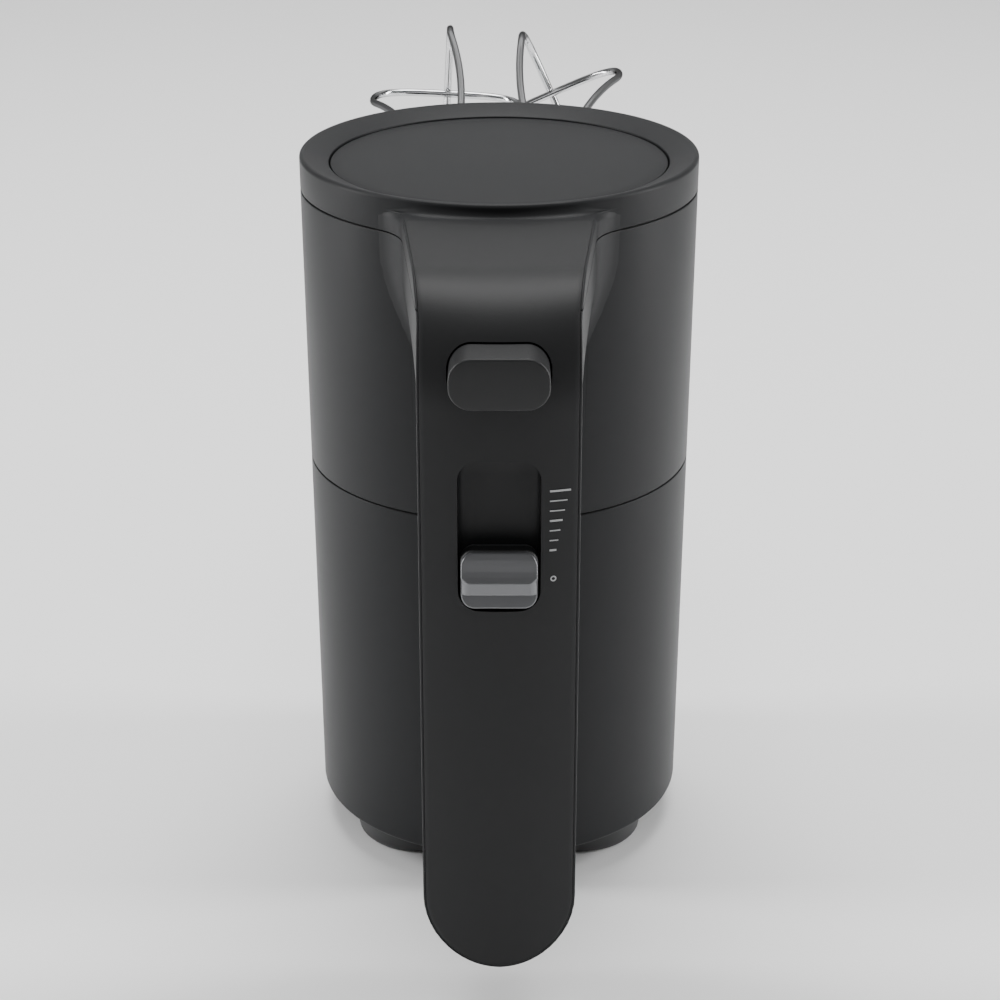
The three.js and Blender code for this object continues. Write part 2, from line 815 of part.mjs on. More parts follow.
[["red_lead", leadX, redLead], ["black_lead", -leadX, blackLead]].forEach(([name, x, colour]) => {
  const leadRadius = 0.8;
  const startY = controlBoardY - boardThickness - leadRadius - 2 * clearance;
  const route = new THREE.CatmullRomCurve3([
    new THREE.Vector3(x, startY, canTopZ - 6),
    new THREE.Vector3(x, startY, canTopZ + 6),
    new THREE.Vector3(x, startY - 6, leadZ - 2),
    new THREE.Vector3(x, startY - 22, leadZ),
    new THREE.Vector3(x, springSeatY + 1, leadZ),
    new THREE.Vector3(x, boardY + 6, leadZ - 3),
    new THREE.Vector3(x, boardY + 1.5, leadZ - 9),
  ]);
  add(housing, name, wire(route, leadRadius, 18, 5), colour);
});

// ---- Motor ----

const canWall = 1.2;
const canMouth = 1.5; // shaft to the can's end
add(
  housing,
  "motor_can",
  turned([
    [motorRadius, canBaseZ],
    [motorRadius, canTopZ],
    [motorShaftRadius + canMouth, canTopZ],
    [motorShaftRadius + canMouth, canTopZ - canWall],
    [motorRadius - canWall, canTopZ - canWall],
    [motorRadius - canWall, canBaseZ],
  ], 32),
  steel,
);
add(
  housing,
  "motor_end_cap",
  ring(motorRadius, motorShaftRadius + clearance, motorBaseZ, motorBaseZ + endCapHeight, 32),
  frameBlack,
);
const magnetOuter = motorRadius - canWall - clearance;
const magnetThickness = 3;
const airGap = 0.6;
const magnetInner = magnetOuter - magnetThickness;
const rotorRadius = magnetInner - airGap;
[["left", Math.PI], ["right", 0]].forEach(([name, middle]) => {
  const reach = THREE.MathUtils.degToRad(62);
  const arc = (radius, from, to) =>
    new THREE.EllipseCurve(0, 0, radius, radius, from, to, to < from).getPoints(8);
  const outline = [
    ...arc(magnetOuter, middle - reach, middle + reach),
    ...arc(magnetInner, middle + reach, middle - reach),
  ];
  add(housing, `magnet_${name}`, prism(outline, "z", canBaseZ + 3, canTopZ - 4), magnetGrey);
});

const rotor = subgroup(mixer);
const shaftBore = motorShaftRadius + clearance;
const gearboxBaseZ = canTopZ + clearance;
const wormTopZ = beaterZ + wormLength / 2;
const bearingHeight = 4;
const bearingSunk = 2.5; // below the gearbox top
const gearboxTopZ = Math.max(beaterZ + wheelTipRadius + 1.2, wormTopZ + bearingSunk + 1);
const bearingZ = gearboxTopZ - bearingSunk;
const shaftTopZ = bearingZ + bearingHeight;
add(rotor, "motor_shaft", rod(motorShaftRadius, motorBaseZ + 0.4, shaftTopZ, 16), steel);

const poles = 5;
const poleOutline = Array.from({ length: poles }, (_, i) => {
  const middle = (2 * Math.PI * i) / poles;
  const at = (radius, degrees) => {
    const angle = middle + THREE.MathUtils.degToRad(degrees);
    return new THREE.Vector2(radius * Math.cos(angle), radius * Math.sin(angle));
  };
  return [
    at(5, -30), at(rotorRadius - 2, -14), at(rotorRadius - 2, -30), at(rotorRadius, -31),
    at(rotorRadius, -16), at(rotorRadius, 0), at(rotorRadius, 16),
    at(rotorRadius, 31), at(rotorRadius - 2, 30), at(rotorRadius - 2, 14), at(5, 30),
  ];
}).flat();
const shaftHole = new THREE.EllipseCurve(0, 0, shaftBore, shaftBore).getPoints(10).slice(0, -1);
add(
  rotor,
  "rotor_core",
  prism(poleOutline, "z", canBaseZ + 6, canTopZ - 5, [shaftHole]),
  steel,
);
const commutatorRadius = 4;
const commutatorZ = canBaseZ + 0.6;
const commutator = ring(commutatorRadius, shaftBore, commutatorZ, commutatorZ + 4.8, 24);
add(rotor, "commutator", commutator, copper);

// The worm is a cross-section with one lobe for each start, twisted along its length.
const lobeHalf = (thickness) => (Math.PI * thickness) / wormLead;
const wormOutline = Array.from({ length: wormStarts }, (_, start) => {
  const middle = Math.PI / 2 + (2 * Math.PI * start) / wormStarts;
  const rootRadius = wormPitchRadius - toothHeight - 0.4;
  const tipRadius = wormPitchRadius + toothHeight;
  const at = (radius, angle) =>
    new THREE.Vector2(radius * Math.cos(middle + angle), radius * Math.sin(middle + angle));
  return [
    at(rootRadius, -lobeHalf(toothThickness * 1.3)),
    at(tipRadius, -lobeHalf(toothThickness * 0.75)),
    at(tipRadius, 0),
    at(tipRadius, lobeHalf(toothThickness * 0.75)),
    at(rootRadius, lobeHalf(toothThickness * 1.3)),
    at(rootRadius, Math.PI / 2),
  ];
}).flat();
const wormSteps = Math.round((wormLength / wormLead) * 10);
const wormBlank = new THREE.ExtrudeGeometry(new THREE.Shape(wormOutline), {
  depth: wormLength,
  steps: wormSteps,
  bevelEnabled: false,
}).translate(0, 0, -wormLength / 2);
add(
  subgroup(rotor, 0, 0, beaterZ),
  "worm",
  cut(
    solid(twisted(wormBlank, (2 * Math.PI) / wormLead)),
    solid(rod(shaftBore, -wormLength, wormLength)),
  ),
  brass,
);

// ---- Gearbox ----

const gearboxSide = 3; // wheels to the gearbox's sides
const gearboxHalfWidth = beaterX + wheelTipRadius + gearboxSide;
const bushRadius = 7.2;
const bushY = 6.5;
const plate = 2;
const bushHole = (x) =>
  solid(alongY(rod(bushRadius + clearance, -20, 20, 20)).translate(x, 0, beaterZ));
const frameWalls = join(
  solid(box([-gearboxHalfWidth, gearboxHalfWidth], [-bushY - plate, bushY],
    [gearboxBaseZ, gearboxBaseZ + plate])),
  solid(box([-gearboxHalfWidth, gearboxHalfWidth], [-bushY - plate, -bushY],
    [gearboxBaseZ, gearboxTopZ + plate])),
);
const shaftWay = solid(rod(shaftBore + 1, gearboxBaseZ - 5, gearboxTopZ + 10, 16));
add(
  housing,
  "gearbox_frame",
  cut(frameWalls, bushHole(-beaterX), bushHole(beaterX), shaftWay),
  frameBlack,
);
const coverWalls = join(
  solid(box([-gearboxHalfWidth, gearboxHalfWidth], [bushY + clearance, bushY + plate],
    [gearboxBaseZ, gearboxTopZ + plate])),
  solid(box([-gearboxHalfWidth, gearboxHalfWidth], [-bushY + clearance, bushY + plate],
    [gearboxTopZ, gearboxTopZ + plate])),
);
const bearingRadius = 5;
const bearingHole = solid(rod(bearingRadius + clearance, bearingZ - 1, gearboxTopZ + 10, 24));
add(
  housing,
  "gearbox_cover",
  cut(coverWalls, bushHole(-beaterX), bushHole(beaterX), bearingHole),
  frameBlack,
);
add(housing, "top_bearing", ring(bearingRadius, shaftBore, bearingZ, shaftTopZ, 24), steel);

// ---- Beater drives and beaters ----

const wheelOutline = Array.from({ length: wormWheelTeeth }, (_, tooth) => {
  const middle = (2 * Math.PI * tooth) / wormWheelTeeth;
  const rootRadius = wheelPitchRadius - toothHeight - 0.4;
  const at = (radius, thickness) => {
    const angle = middle + thickness / 2 / wheelPitchRadius;
    return new THREE.Vector2(radius * Math.cos(angle), radius * Math.sin(angle));
  };
  return [
    at(rootRadius, -toothThickness * 1.3), at(wheelTipRadius, -toothThickness * 0.7),
    at(wheelTipRadius, toothThickness * 0.7), at(rootRadius, toothThickness * 1.3),
  ];
}).flat();
const leadSlope = wormLead / (2 * Math.PI * wormPitchRadius);

function wormWheel() {
  const shape = new THREE.Shape(wheelOutline);
  const bore = spindleRadius + clearance;
  shape.holes = [new THREE.Path(new THREE.EllipseCurve(0, 0, bore, bore).getPoints(16))];
  const blank = new THREE.ExtrudeGeometry(shape, {
    depth: wormWheelWidth,
    steps: 2,
    bevelEnabled: false,
  }).translate(0, 0, -wormWheelWidth / 2);
  return alongY(twisted(blank, leadSlope / wheelPitchRadius));
}

// One bent wire of a cage, from the hub out to its widest, over the dome and back.
class CageWire extends THREE.Curve {
  constructor(phase, twistSign, tipY, startY) {
    super();
    Object.assign(this, { phase, twistSign, tipY, startY });
  }
  getPoint(t, target = new THREE.Vector3()) {
    const fromTip = Math.abs(2 * t - 1);
    const sideTurn = t < 0.5 ? 0 : Math.PI;
    const domeShare = 0.3;
    const squareness = 2 / 3.3;
    let radius;
    let y;
    if (fromTip > domeShare) {
      const along = (1 - fromTip) / (1 - domeShare);
      radius = THREE.MathUtils.lerp(cageNeckRadius, cageRadius, along);
      y = THREE.MathUtils.lerp(this.startY, cageWidestY, along);
    } else {
      const angle = (Math.PI / 2) * (1 - fromTip / domeShare);
      radius = cageRadius * Math.max(Math.cos(angle), 0) ** squareness;
      y = cageWidestY + (this.tipY - cageWidestY) * Math.sin(angle) ** squareness;
    }
    const twist = this.twistSign * cageTwist * Math.max(cageWidestY - y, 0);
    const turn = this.phase + sideTurn + twist;
    return target.set(radius * Math.sin(turn), y, radius * Math.cos(turn));
  }
}

const shaftBackY = wallYAt(beaterX, beaterZ) - beaterSocketDepth + clearance;
const spindleFront = wallYAt(beaterX, beaterZ) + 0.4;
const pinRadius = 2;
const pinHeadY = spindleBack - ejectTravel - ejectPinHead.thickness - ejectPinHead.room;
const shaftCollar = { radius: 5, length: 3, fromSpindle: 9.6 };
const rearBushLength = 3.2;
const frontBushLength = 4;
const bushToWheel = 5.6; // wheel's middle to both bushes

function addDrive(side) {
  const sign = side === "left" ? -1 : 1;
  const drive = subgroup(mixer, sign * beaterX, 0, beaterZ);
  add(
    drive,
    `${side}_spindle`,
    alongY(ring(spindleRadius, socketBoreRadius, spindleBack, spindleFront, 24)),
    steel,
  );
  add(drive, `${side}_worm_wheel`, wormWheel(), gearNylon);

  add(
    drive,
    `${side}_eject_pin`,
    alongY(turned([
      [0, pinHeadY],
      [ejectPinHead.radius, pinHeadY],
      [ejectPinHead.radius, pinHeadY + ejectPinHead.thickness],
      [pinRadius, pinHeadY + ejectPinHead.thickness],
      [pinRadius, shaftBackY - clearance],
      [0, shaftBackY - clearance],
    ], 16)),
    steel,
  );

  const hubFront = beaterHubY + beaterHubLength;
  const collarY = spindleFront + shaftCollar.fromSpindle;
  add(
    drive,
    `${side}_beater_shaft`,
    alongY(turned([
      [0, shaftBackY],
      [beaterShaftRadius - 0.5, shaftBackY],
      [beaterShaftRadius, shaftBackY + 0.8],
      [beaterShaftRadius, collarY],
      [shaftCollar.radius, collarY],
      [shaftCollar.radius, collarY + shaftCollar.length],
      [beaterShaftRadius, collarY + shaftCollar.length],
      [beaterShaftRadius, hubFront - 3],
      [0, hubFront - 3],
    ], 20)),
    polishedSteel,
  );
  add(
    drive,
    `${side}_beater_hub`,
    alongY(turned([
      [socketBoreRadius, beaterHubY],
      [beaterHubRadius - 0.8, beaterHubY],
      [beaterHubRadius, beaterHubY + 1],
      [beaterHubRadius, hubFront],
      [socketBoreRadius, hubFront],
    ], 20)),
    polishedSteel,
  );
  const tipY = cageWidestY + cageDomeLength;
  const nest = 2 * beaterWireRadius + clearance;
  const startY = hubFront + clearance;
  const phase = cagePhases[side];
  const outer = new CageWire(phase, -sign, tipY, startY);
  const inner = new CageWire(phase + Math.PI / 2, -sign, tipY - nest, startY);
  add(drive, `${side}_outer_wire`, wire(outer, beaterWireRadius, 52), polishedSteel);
  add(drive, `${side}_inner_wire`, wire(inner, beaterWireRadius, 52), polishedSteel);

  const still = subgroup(housing, sign * beaterX, 0, beaterZ);
  const bushBore = spindleRadius + clearance;
  const bush = (from, to) => alongY(ring(bushRadius, bushBore, from, to));
  add(still, `${side}_front_bush`, bush(bushToWheel, bushToWheel + frontBushLength), brass);
  add(still, `${side}_rear_bush`, bush(-bushToWheel - rearBushLength, -bushToWheel), brass);
  const collarBack = wallYAt(beaterX + socketCollarRadius, beaterZ) - bodyWall - 1;
  const collarFront = bodyRadiusAt(beaterZ) + 3;
  add(
    still,
    `${side}_socket_collar`,
    alongY(ring(socketCollarRadius, bushBore, collarBack, collarFront)),
    frameBlack,
  );
}

addDrive("left");
addDrive("right");

// ---- Eject mechanism ----

const buttonFaceY = -handleReach - ejectButton.proud;
const buttonBackY = buttonFaceY + ejectButtonLength;
const eject = subgroup(mixer, 0, 0, 0);
const buttonEdge = 0.8;
add(
  eject,
  "eject_button",
  join(
    solid(prism(buttonOutline(0), "y", buttonFaceY + buttonEdge, buttonBackY)),
    solid(prism(buttonOutline(-buttonEdge), "y", buttonFaceY, buttonBackY)),
  ),
  coverCharcoal,
);
const pushPlateY = pinHeadY - clearance;
const pushPlateThickness = 2.5;
const pushPlateEdge = 4; // past the pins and the rod
const pushPlate = box(
  [-beaterX - 3.5, beaterX + 3.5],
  [pushPlateY - pushPlateThickness, pushPlateY],
  [beaterZ - pushPlateEdge, ejectZ + pushPlateEdge],
);
const pushRod = alongY(rod(ejectRodRadius, buttonBackY + clearance, pushPlateY - 1, 16));
add(
  eject,
  "eject_slider",
  join(solid(pushPlate), solid(pushRod.translate(0, 0, ejectZ))),
  frameBlack,
);
const springBackY = buttonBackY + clearance;
const ejectSpring = { radius: 4.4, wire: 0.6, turns: 5 };
const ejectSpringLength = springSeatY - clearance - springBackY;
add(
  subgroup(eject, 0, springBackY, ejectZ),
  "eject_spring",
  alongY(coilSpring(ejectSpring.radius, ejectSpring.wire, ejectSpringLength, ejectSpring.turns)),
  springSteel,
);

export default mixer;
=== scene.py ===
import json
import math
import bmesh
import bpy
from mathutils import Matrix, Vector


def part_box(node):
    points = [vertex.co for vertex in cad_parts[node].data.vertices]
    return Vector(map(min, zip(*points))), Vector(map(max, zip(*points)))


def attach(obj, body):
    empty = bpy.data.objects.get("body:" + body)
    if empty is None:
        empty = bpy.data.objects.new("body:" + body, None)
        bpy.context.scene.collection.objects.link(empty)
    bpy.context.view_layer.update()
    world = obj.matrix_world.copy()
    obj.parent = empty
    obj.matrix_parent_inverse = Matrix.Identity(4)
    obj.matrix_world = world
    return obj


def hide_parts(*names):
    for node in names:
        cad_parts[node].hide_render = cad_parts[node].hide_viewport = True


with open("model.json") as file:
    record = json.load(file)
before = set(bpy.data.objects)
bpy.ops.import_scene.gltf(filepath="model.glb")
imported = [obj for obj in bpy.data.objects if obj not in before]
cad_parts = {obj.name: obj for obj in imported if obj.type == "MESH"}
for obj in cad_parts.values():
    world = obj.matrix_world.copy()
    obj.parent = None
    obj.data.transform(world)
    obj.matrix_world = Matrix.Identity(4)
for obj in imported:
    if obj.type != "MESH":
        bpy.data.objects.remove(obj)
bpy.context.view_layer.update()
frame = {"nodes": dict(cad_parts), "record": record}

mm = 0.001  # pieces are drawn in millimetres and stored in metres
print("frame loaded:", len(frame["nodes"]), "nodes")


def limits(node):  # lowest and highest corners, in millimetres
    low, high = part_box(node)
    return Vector(low) / mm, Vector(high) / mm


rearLow, rearHigh = limits("rear_housing")
ringLow, ringHigh = limits("nose_ring")
capLow, capHigh = limits("front_cap")
coverLow, coverHigh = limits("handle_cover")
knobLow, knobHigh = limits("speed_knob")
buttonLow, buttonHigh = limits("eject_button")
footLow, footHigh = limits("battery_base")
caseLow, caseHigh = limits("battery_case")
latchLow, latchHigh = limits("latch_button")

rearZ = rearLow.z
midSeamZ = rearHigh.z + 0.15  # the middle of the gap between the housings
ringSeamZ = ringLow.z - 0.15
rimZ = ringHigh.z
frontRadius = ringHigh.x
rearRadius = 43.7  # the body widens from here to the ring
reach = -coverLow.y  # how far the grip's outer face stands out
gripBackY = -75.0  # the grip's finger side
neckTopZ = coverHigh.z
neckUnderZ = neckTopZ - 31.7
gripTipZ = limits("front_housing")[0].z


def bodyRadiusAt(z):
    return rearRadius + (frontRadius - rearRadius) * (z - rearZ) / (rimZ - rearZ)


class Link:  # one output socket, so that node maths reads as an expression
    def __init__(self, tree, socket):
        self.tree = tree
        self.socket = socket

    def node(self, kind, settings=None, inputs=None, out=0):
        return addNode(self.tree, kind, settings, inputs, out)

    def output(self, index):
        return Link(self.tree, self.socket.node.outputs[index])

    def math(self, operation, *others):
        values = dict(enumerate((self, *others)))
        return self.node("ShaderNodeMath", {"operation": operation}, values)

    def __add__(self, other):
        return self.math("ADD", other)

    def __radd__(self, other):
        return self.math("ADD", other)

    def __sub__(self, other):
        return self.math("SUBTRACT", other)

    def __rsub__(self, other):
        return self.node("ShaderNodeMath", {"operation": "SUBTRACT"}, {0: other, 1: self})

    def __mul__(self, other):
        return self.math("MULTIPLY", other)

    def __rmul__(self, other):
        return self.math("MULTIPLY", other)

    def __truediv__(self, other):
        return self.math("DIVIDE", other)

    def __pow__(self, other):
        return self.math("POWER", other)


def addNode(tree, kind, settings=None, inputs=None, out=0):
    node = tree.nodes.new(kind)
    for key, value in (settings or {}).items():
        setattr(node, key, value)
    for key, value in (inputs or {}).items():
        if isinstance(value, Link):
            value = [value]
        if isinstance(value, list):
            for link in value:
                tree.links.new(link.socket, node.inputs[key])
        else:
            node.inputs[key].default_value = value
    return Link(tree, node.outputs[out])


def newMaterial(name):
    material = bpy.data.materials.new(name)
    material.use_nodes = True
    tree = material.node_tree
    shader = next(node for node in tree.nodes if node.type == "BSDF_PRINCIPLED")
    place = addNode(tree, "ShaderNodeTexCoord", out=3)  # object coordinates
    return material, tree, shader, place


def noise(place, scale, detail=3.0, roughness=0.55, stretch=None):
    if stretch:
        place = place.node("ShaderNodeMapping", None, {0: place, 3: stretch})
    return place.node("ShaderNodeTexNoise", None, {0: place, 2: scale, 3: detail, 4: roughness})


def connect(tree, shader, **values):
    names = {"color": "Base Color"}
    for key, value in values.items():
        socket = shader.inputs[names.get(key, key.title())]
        if isinstance(value, Link):
            tree.links.new(value.socket, socket)
        else:
            socket.default_value = value


def mixColors(factor, dark, light):
    colors = {0: factor, 6: (*dark, 1), 7: (*light, 1)}
    return factor.node("ShaderNodeMix", {"data_type": "RGBA"}, colors, out=2)


# fine spark-eroded grain, cloudy sheen and a little handling dust
def mouldedPlastic(name, color, roughness=0.5, grain=0.35, spread=0.14, specular=0.5):
    material, tree, shader, place = newMaterial(name)
    cloud = noise(place, 38.0, 4.0)
    dust = noise(place, 420.0, 2.0)
    fine = noise(place, 5200.0, 2.0, 0.6)
    coarse = noise(place, 1500.0, 3.0, 0.5)
    dark = tuple(channel * (1 - spread) for channel in color)
    light = tuple(channel * (1 + spread) for channel in color)
    connect(tree, shader, color=mixColors(cloud * 0.75 + dust * 0.25, dark, light))
    connect(tree, shader, roughness=roughness - 0.05 + cloud * 0.07 + fine * 0.05)
    height = fine * 0.65 + coarse * 0.35
    relief = {"Strength": grain, "Distance": 0.00006, "Height": height}
    bump = height.node("ShaderNodeBump", None, relief)
    connect(tree, shader, normal=bump)
    shader.inputs["Specular IOR Level"].default_value = specular
    return material


# drawn or brushed metal: streaks along one axis, uneven gloss
def brushedMetal(name, color, roughness=0.3, stretch=(1, 40, 40), strength=0.12, metallic=1.0, edge=1.0):
    material, tree, shader, place = newMaterial(name)
    streaks = noise(place, 260.0, 3.0, 0.6, stretch)
    cloud = noise(place, 55.0, 3.0)
    dark = tuple(channel * 0.86 for channel in color)
    connect(tree, shader, color=mixColors(streaks * 0.6 + cloud * 0.4, dark, color))
    connect(tree, shader, roughness=roughness - 0.04 + streaks * 0.05 + cloud * 0.05, metallic=metallic)
    relief = {"Strength": strength, "Distance": 0.00003, "Height": streaks}
    bump = streaks.node("ShaderNodeBump", None, relief)
    connect(tree, shader, normal=bump)
    shader.inputs["Specular Tint"].default_value = (edge, edge, edge, 1)
    return material


# glossy film or solder mask with faint waviness
def wrappedFilm(name, color, roughness=0.3):
    material, tree, shader, place = newMaterial(name)
    waves = noise(place, 180.0, 3.0)
    dark = tuple(channel * 0.7 for channel in color)
    connect(tree, shader, color=mixColors(waves, dark, color), roughness=roughness + waves * 0.1)
    relief = {"Strength": 0.15, "Distance": 0.0002, "Height": waves}
    bump = waves.node("ShaderNodeBump", None, relief)
    connect(tree, shader, normal=bump)
    return material


finishes = {
    "body_shell": mouldedPlastic("shellPlastic", (0.0180, 0.0185, 0.0195), 0.43, specular=0.14),
    "handle_cover": mouldedPlastic("coverPlastic", (0.0155, 0.0158, 0.0165), 0.45, specular=0.2),
    "front_cap": mouldedPlastic("capPlastic", (0.0180, 0.0185, 0.0195), 0.46, specular=0.12),
    "eject_button": mouldedPlastic("buttonPlastic", (0.0160, 0.0163, 0.0170), 0.45, specular=0.3),
    "foot": mouldedPlastic("footPlastic", (0.0340, 0.0345, 0.0352), 0.42, specular=0.5),
    "speed_knob": brushedMetal("satinKnob", (0.185, 0.188, 0.195), 0.34, (1, 30, 30), 0.1, 0.8),
    "beater_steel": brushedMetal(
        "polishedWire", (0.74, 0.745, 0.755), 0.11, (12, 1, 12), 0.05, edge=0.12),
    "inner_plastic": mouldedPlastic("innerPlastic", (0.0170, 0.0172, 0.0178), 0.5, specular=0.4),
    "steel": brushedMetal("machinedSteel", (0.42, 0.425, 0.435), 0.32),
    "spring_steel": brushedMetal("springWire", (0.48, 0.48, 0.49), 0.25),
    "gear_nylon": mouldedPlastic("gearNylon", (0.70, 0.67, 0.58), 0.45, 0.15, 0.05),
    "brass": brushedMetal("turnedBrass", (0.60, 0.42, 0.17), 0.3),
    "copper": brushedMetal("turnedCopper", (0.62, 0.28, 0.14), 0.3),
    "magnet": mouldedPlastic("sinteredMagnet", (0.07, 0.07, 0.075), 0.6, 0.6),
    "circuit_board": wrappedFilm("solderMask", (0.02, 0.14, 0.05)),
    "cell_wrap": wrappedFilm("cellFilm", (0.04, 0.12, 0.34)),
    "red_insulation": wrappedFilm("redInsulation", (0.42, 0.02, 0.02), 0.4),
    "black_insulation": wrappedFilm("blackInsulation", (0.012, 0.012, 0.012), 0.4),
}
printMaterial = mouldedPlastic("markPrint", (0.40, 0.405, 0.41), 0.5, 0.2, 0.06)
# near-black painted shade for the insides of the seam gaps
gapShadeMaterial = mouldedPlastic("gapShadow", (0.006, 0.006, 0.006), 0.7)

for entry in frame["record"]["subparts"]:
    node = frame["nodes"][entry["node"]]
    node.data.materials.clear()
    node.data.materials.append(finishes[entry["material_slot"]])
print("materials ready:", len(finishes))


def newPiece(name, vertices, faces, body, slotName, replaced=(), sharp=32, material=None):
    mesh = bpy.data.meshes.new(name)
    mesh.from_pydata([Vector(v) * mm for v in vertices], [], faces)
    return finishPiece(name, mesh, body, slotName, replaced, sharp, material)


def finishPiece(name, mesh, body, slotName, replaced=(), sharp=32, material=None):
    work = bmesh.new()
    work.from_mesh(mesh)
    bmesh.ops.remove_doubles(work, verts=work.verts, dist=2e-6)
    bmesh.ops.dissolve_degenerate(work, edges=work.edges, dist=1e-6)
    bmesh.ops.recalc_face_normals(work, faces=work.faces)
    work.to_mesh(mesh)
    work.free()
    mesh.shade_smooth()
    mesh.set_sharp_from_angle(angle=math.radians(sharp))
    mesh.materials.clear()
    mesh.materials.append(material or finishes[slotName])
    piece = bpy.data.objects.new(name, mesh)
    bpy.context.collection.objects.link(piece)
    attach(piece, body)
    if replaced:
        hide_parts(*replaced)
    return piece


def joined(*parts):  # pairs of vertices and faces as one pair
    vertices, faces = [], []
    for partVertices, partFaces in parts:
        start = len(vertices)
        vertices += partVertices
        faces += [[start + corner for corner in face] for face in partFaces]
    return vertices, faces


def rounded(corners, steps=6):  # each corner is (x, y, radius)
    outline = []
    for i, (x, y, radius) in enumerate(corners):
        here = Vector((x, y))
        if radius <= 0:
            outline.append(here)
            continue
        before = (Vector(corners[i - 1][:2]) - here).normalized()
        after = (Vector(corners[(i + 1) % len(corners)][:2]) - here).normalized()
        half = math.acos(max(-1, min(1, before.dot(after)))) / 2
        centre = here + (before + after).normalized() * radius / math.sin(half)
        start = here + before * radius / math.tan(half) - centre
        end = here + after * radius / math.tan(half) - centre
        first = math.atan2(start.y, start.x)
        turn = (math.atan2(end.y, end.x) - first + 3 * math.pi) % (2 * math.pi) - math.pi
        for step in range(steps + 1):
            angle = first + turn * step / steps
            outline.append(centre + Vector((math.cos(angle), math.sin(angle))) * radius)
    return outline


# a profile of (radius, height) points turned about an axis
def turned(profile, segments=160, centre=(0, 0), along="z", closed=False):
    vertices, faces = [], []
    for i in range(segments):
        angle = 2 * math.pi * i / segments
        for radius, height in profile:
            a, b = radius * math.cos(angle), radius * math.sin(angle)
            if along == "z":
                vertices.append((centre[0] + a, centre[1] + b, height))
            else:
                vertices.append((centre[0] + a, height, centre[1] - b))
    count = len(profile)
    last = count if closed else count - 1
    for i in range(segments):
        for j in range(last):
            here, up = i * count + j, i * count + (j + 1) % count
            nextHere = (here + count) % len(vertices)
            nextUp = (up + count) % len(vertices)
            faces.append([here, nextHere, nextUp, up])
    return vertices, faces


def lofted(rings, caps=True):  # rings with the same number of points
    vertices = [point for ring in rings for point in ring]
    count = len(rings[0])
    faces = []
    for i in range(len(rings) - 1):
        for j in range(count):
            k = (j + 1) % count
            faces.append([i * count + j, i * count + k, (i + 1) * count + k, (i + 1) * count + j])
    if caps:
        faces.append(list(range(count))[::-1])
        faces.append([(len(rings) - 1) * count + j for j in range(count)])
    return vertices, faces


def roundedRectangle(width, height, radius, grow=0.0, steps=8):
    halfWidth, halfHeight = width / 2 + grow, height / 2 + grow
    radius = max(min(radius + grow, halfWidth - 0.01, halfHeight - 0.01), 0.02)
    corners = [
        (-halfWidth, -halfHeight, radius), (halfWidth, -halfHeight, radius),
        (halfWidth, halfHeight, radius), (-halfWidth, halfHeight, radius),
    ]
    return rounded(corners, steps)


def facingBack(outline, y, centreZ):
    return [(point.x, y, centreZ + point.y) for point in outline]


def temporary(vertices, faces, name="cutter"):
    mesh = bpy.data.meshes.new(name)
    mesh.from_pydata([Vector(v) * mm for v in vertices], [], faces)
    work = bmesh.new()
    work.from_mesh(mesh)
    bmesh.ops.remove_doubles(work, verts=work.verts, dist=2e-6)
    bmesh.ops.recalc_face_normals(work, faces=work.faces)
    work.to_mesh(mesh)
    work.free()
    shape = bpy.data.objects.new(name, mesh)
    bpy.context.collection.objects.link(shape)
    return shape


def applied(shape):  # a scratch object becomes its evaluated mesh
    bpy.context.view_layer.update()
    evaluated = shape.evaluated_get(bpy.context.evaluated_depsgraph_get())
    mesh = bpy.data.meshes.new_from_object(evaluated)
    bpy.data.objects.remove(shape)
    return mesh


def carved(base, cutters):
    shape = temporary(*base, name="blank")
    tools = [temporary(*cutter) for cutter in cutters]
    for tool in tools:
        modifier = shape.modifiers.new("carve", "BOOLEAN")
        modifier.operation = "DIFFERENCE"
        modifier.solver = "EXACT"
        modifier.object = tool
    mesh = applied(shape)
    for tool in tools:
        bpy.data.objects.remove(tool)
    return mesh


shell = {"wall": 2.5, "rearEdge": 1.3, "seamEdge": 0.28, "seam": 0.15, "floor": 3.0, "segments": 192}


def wallProfile(low, high, lowEdge, highEdge, inner):
    corners = [
        (bodyRadiusAt(low) - inner, low, 0.2), (bodyRadiusAt(low), low, lowEdge),
        (bodyRadiusAt(high), high, highEdge), (bodyRadiusAt(high) - inner, high, 0.2),
    ]
    return [(p.x, p.y) for p in rounded(corners, 5)]


batteryWell = {"corner": 9.2, "clearance": 0.4, "sleeve": 1.9, "belowTop": 2.0}


def batteryOutline(grow, steps=10):
    halfWidth = caseHigh.x + grow
    halfDepth = caseHigh.y + grow
    return roundedRectangle(2 * halfWidth, 2 * halfDepth, batteryWell["corner"] + grow, 0, steps)


def upright(outline, z):
    return [(point.x, point.y, z) for point in outline]


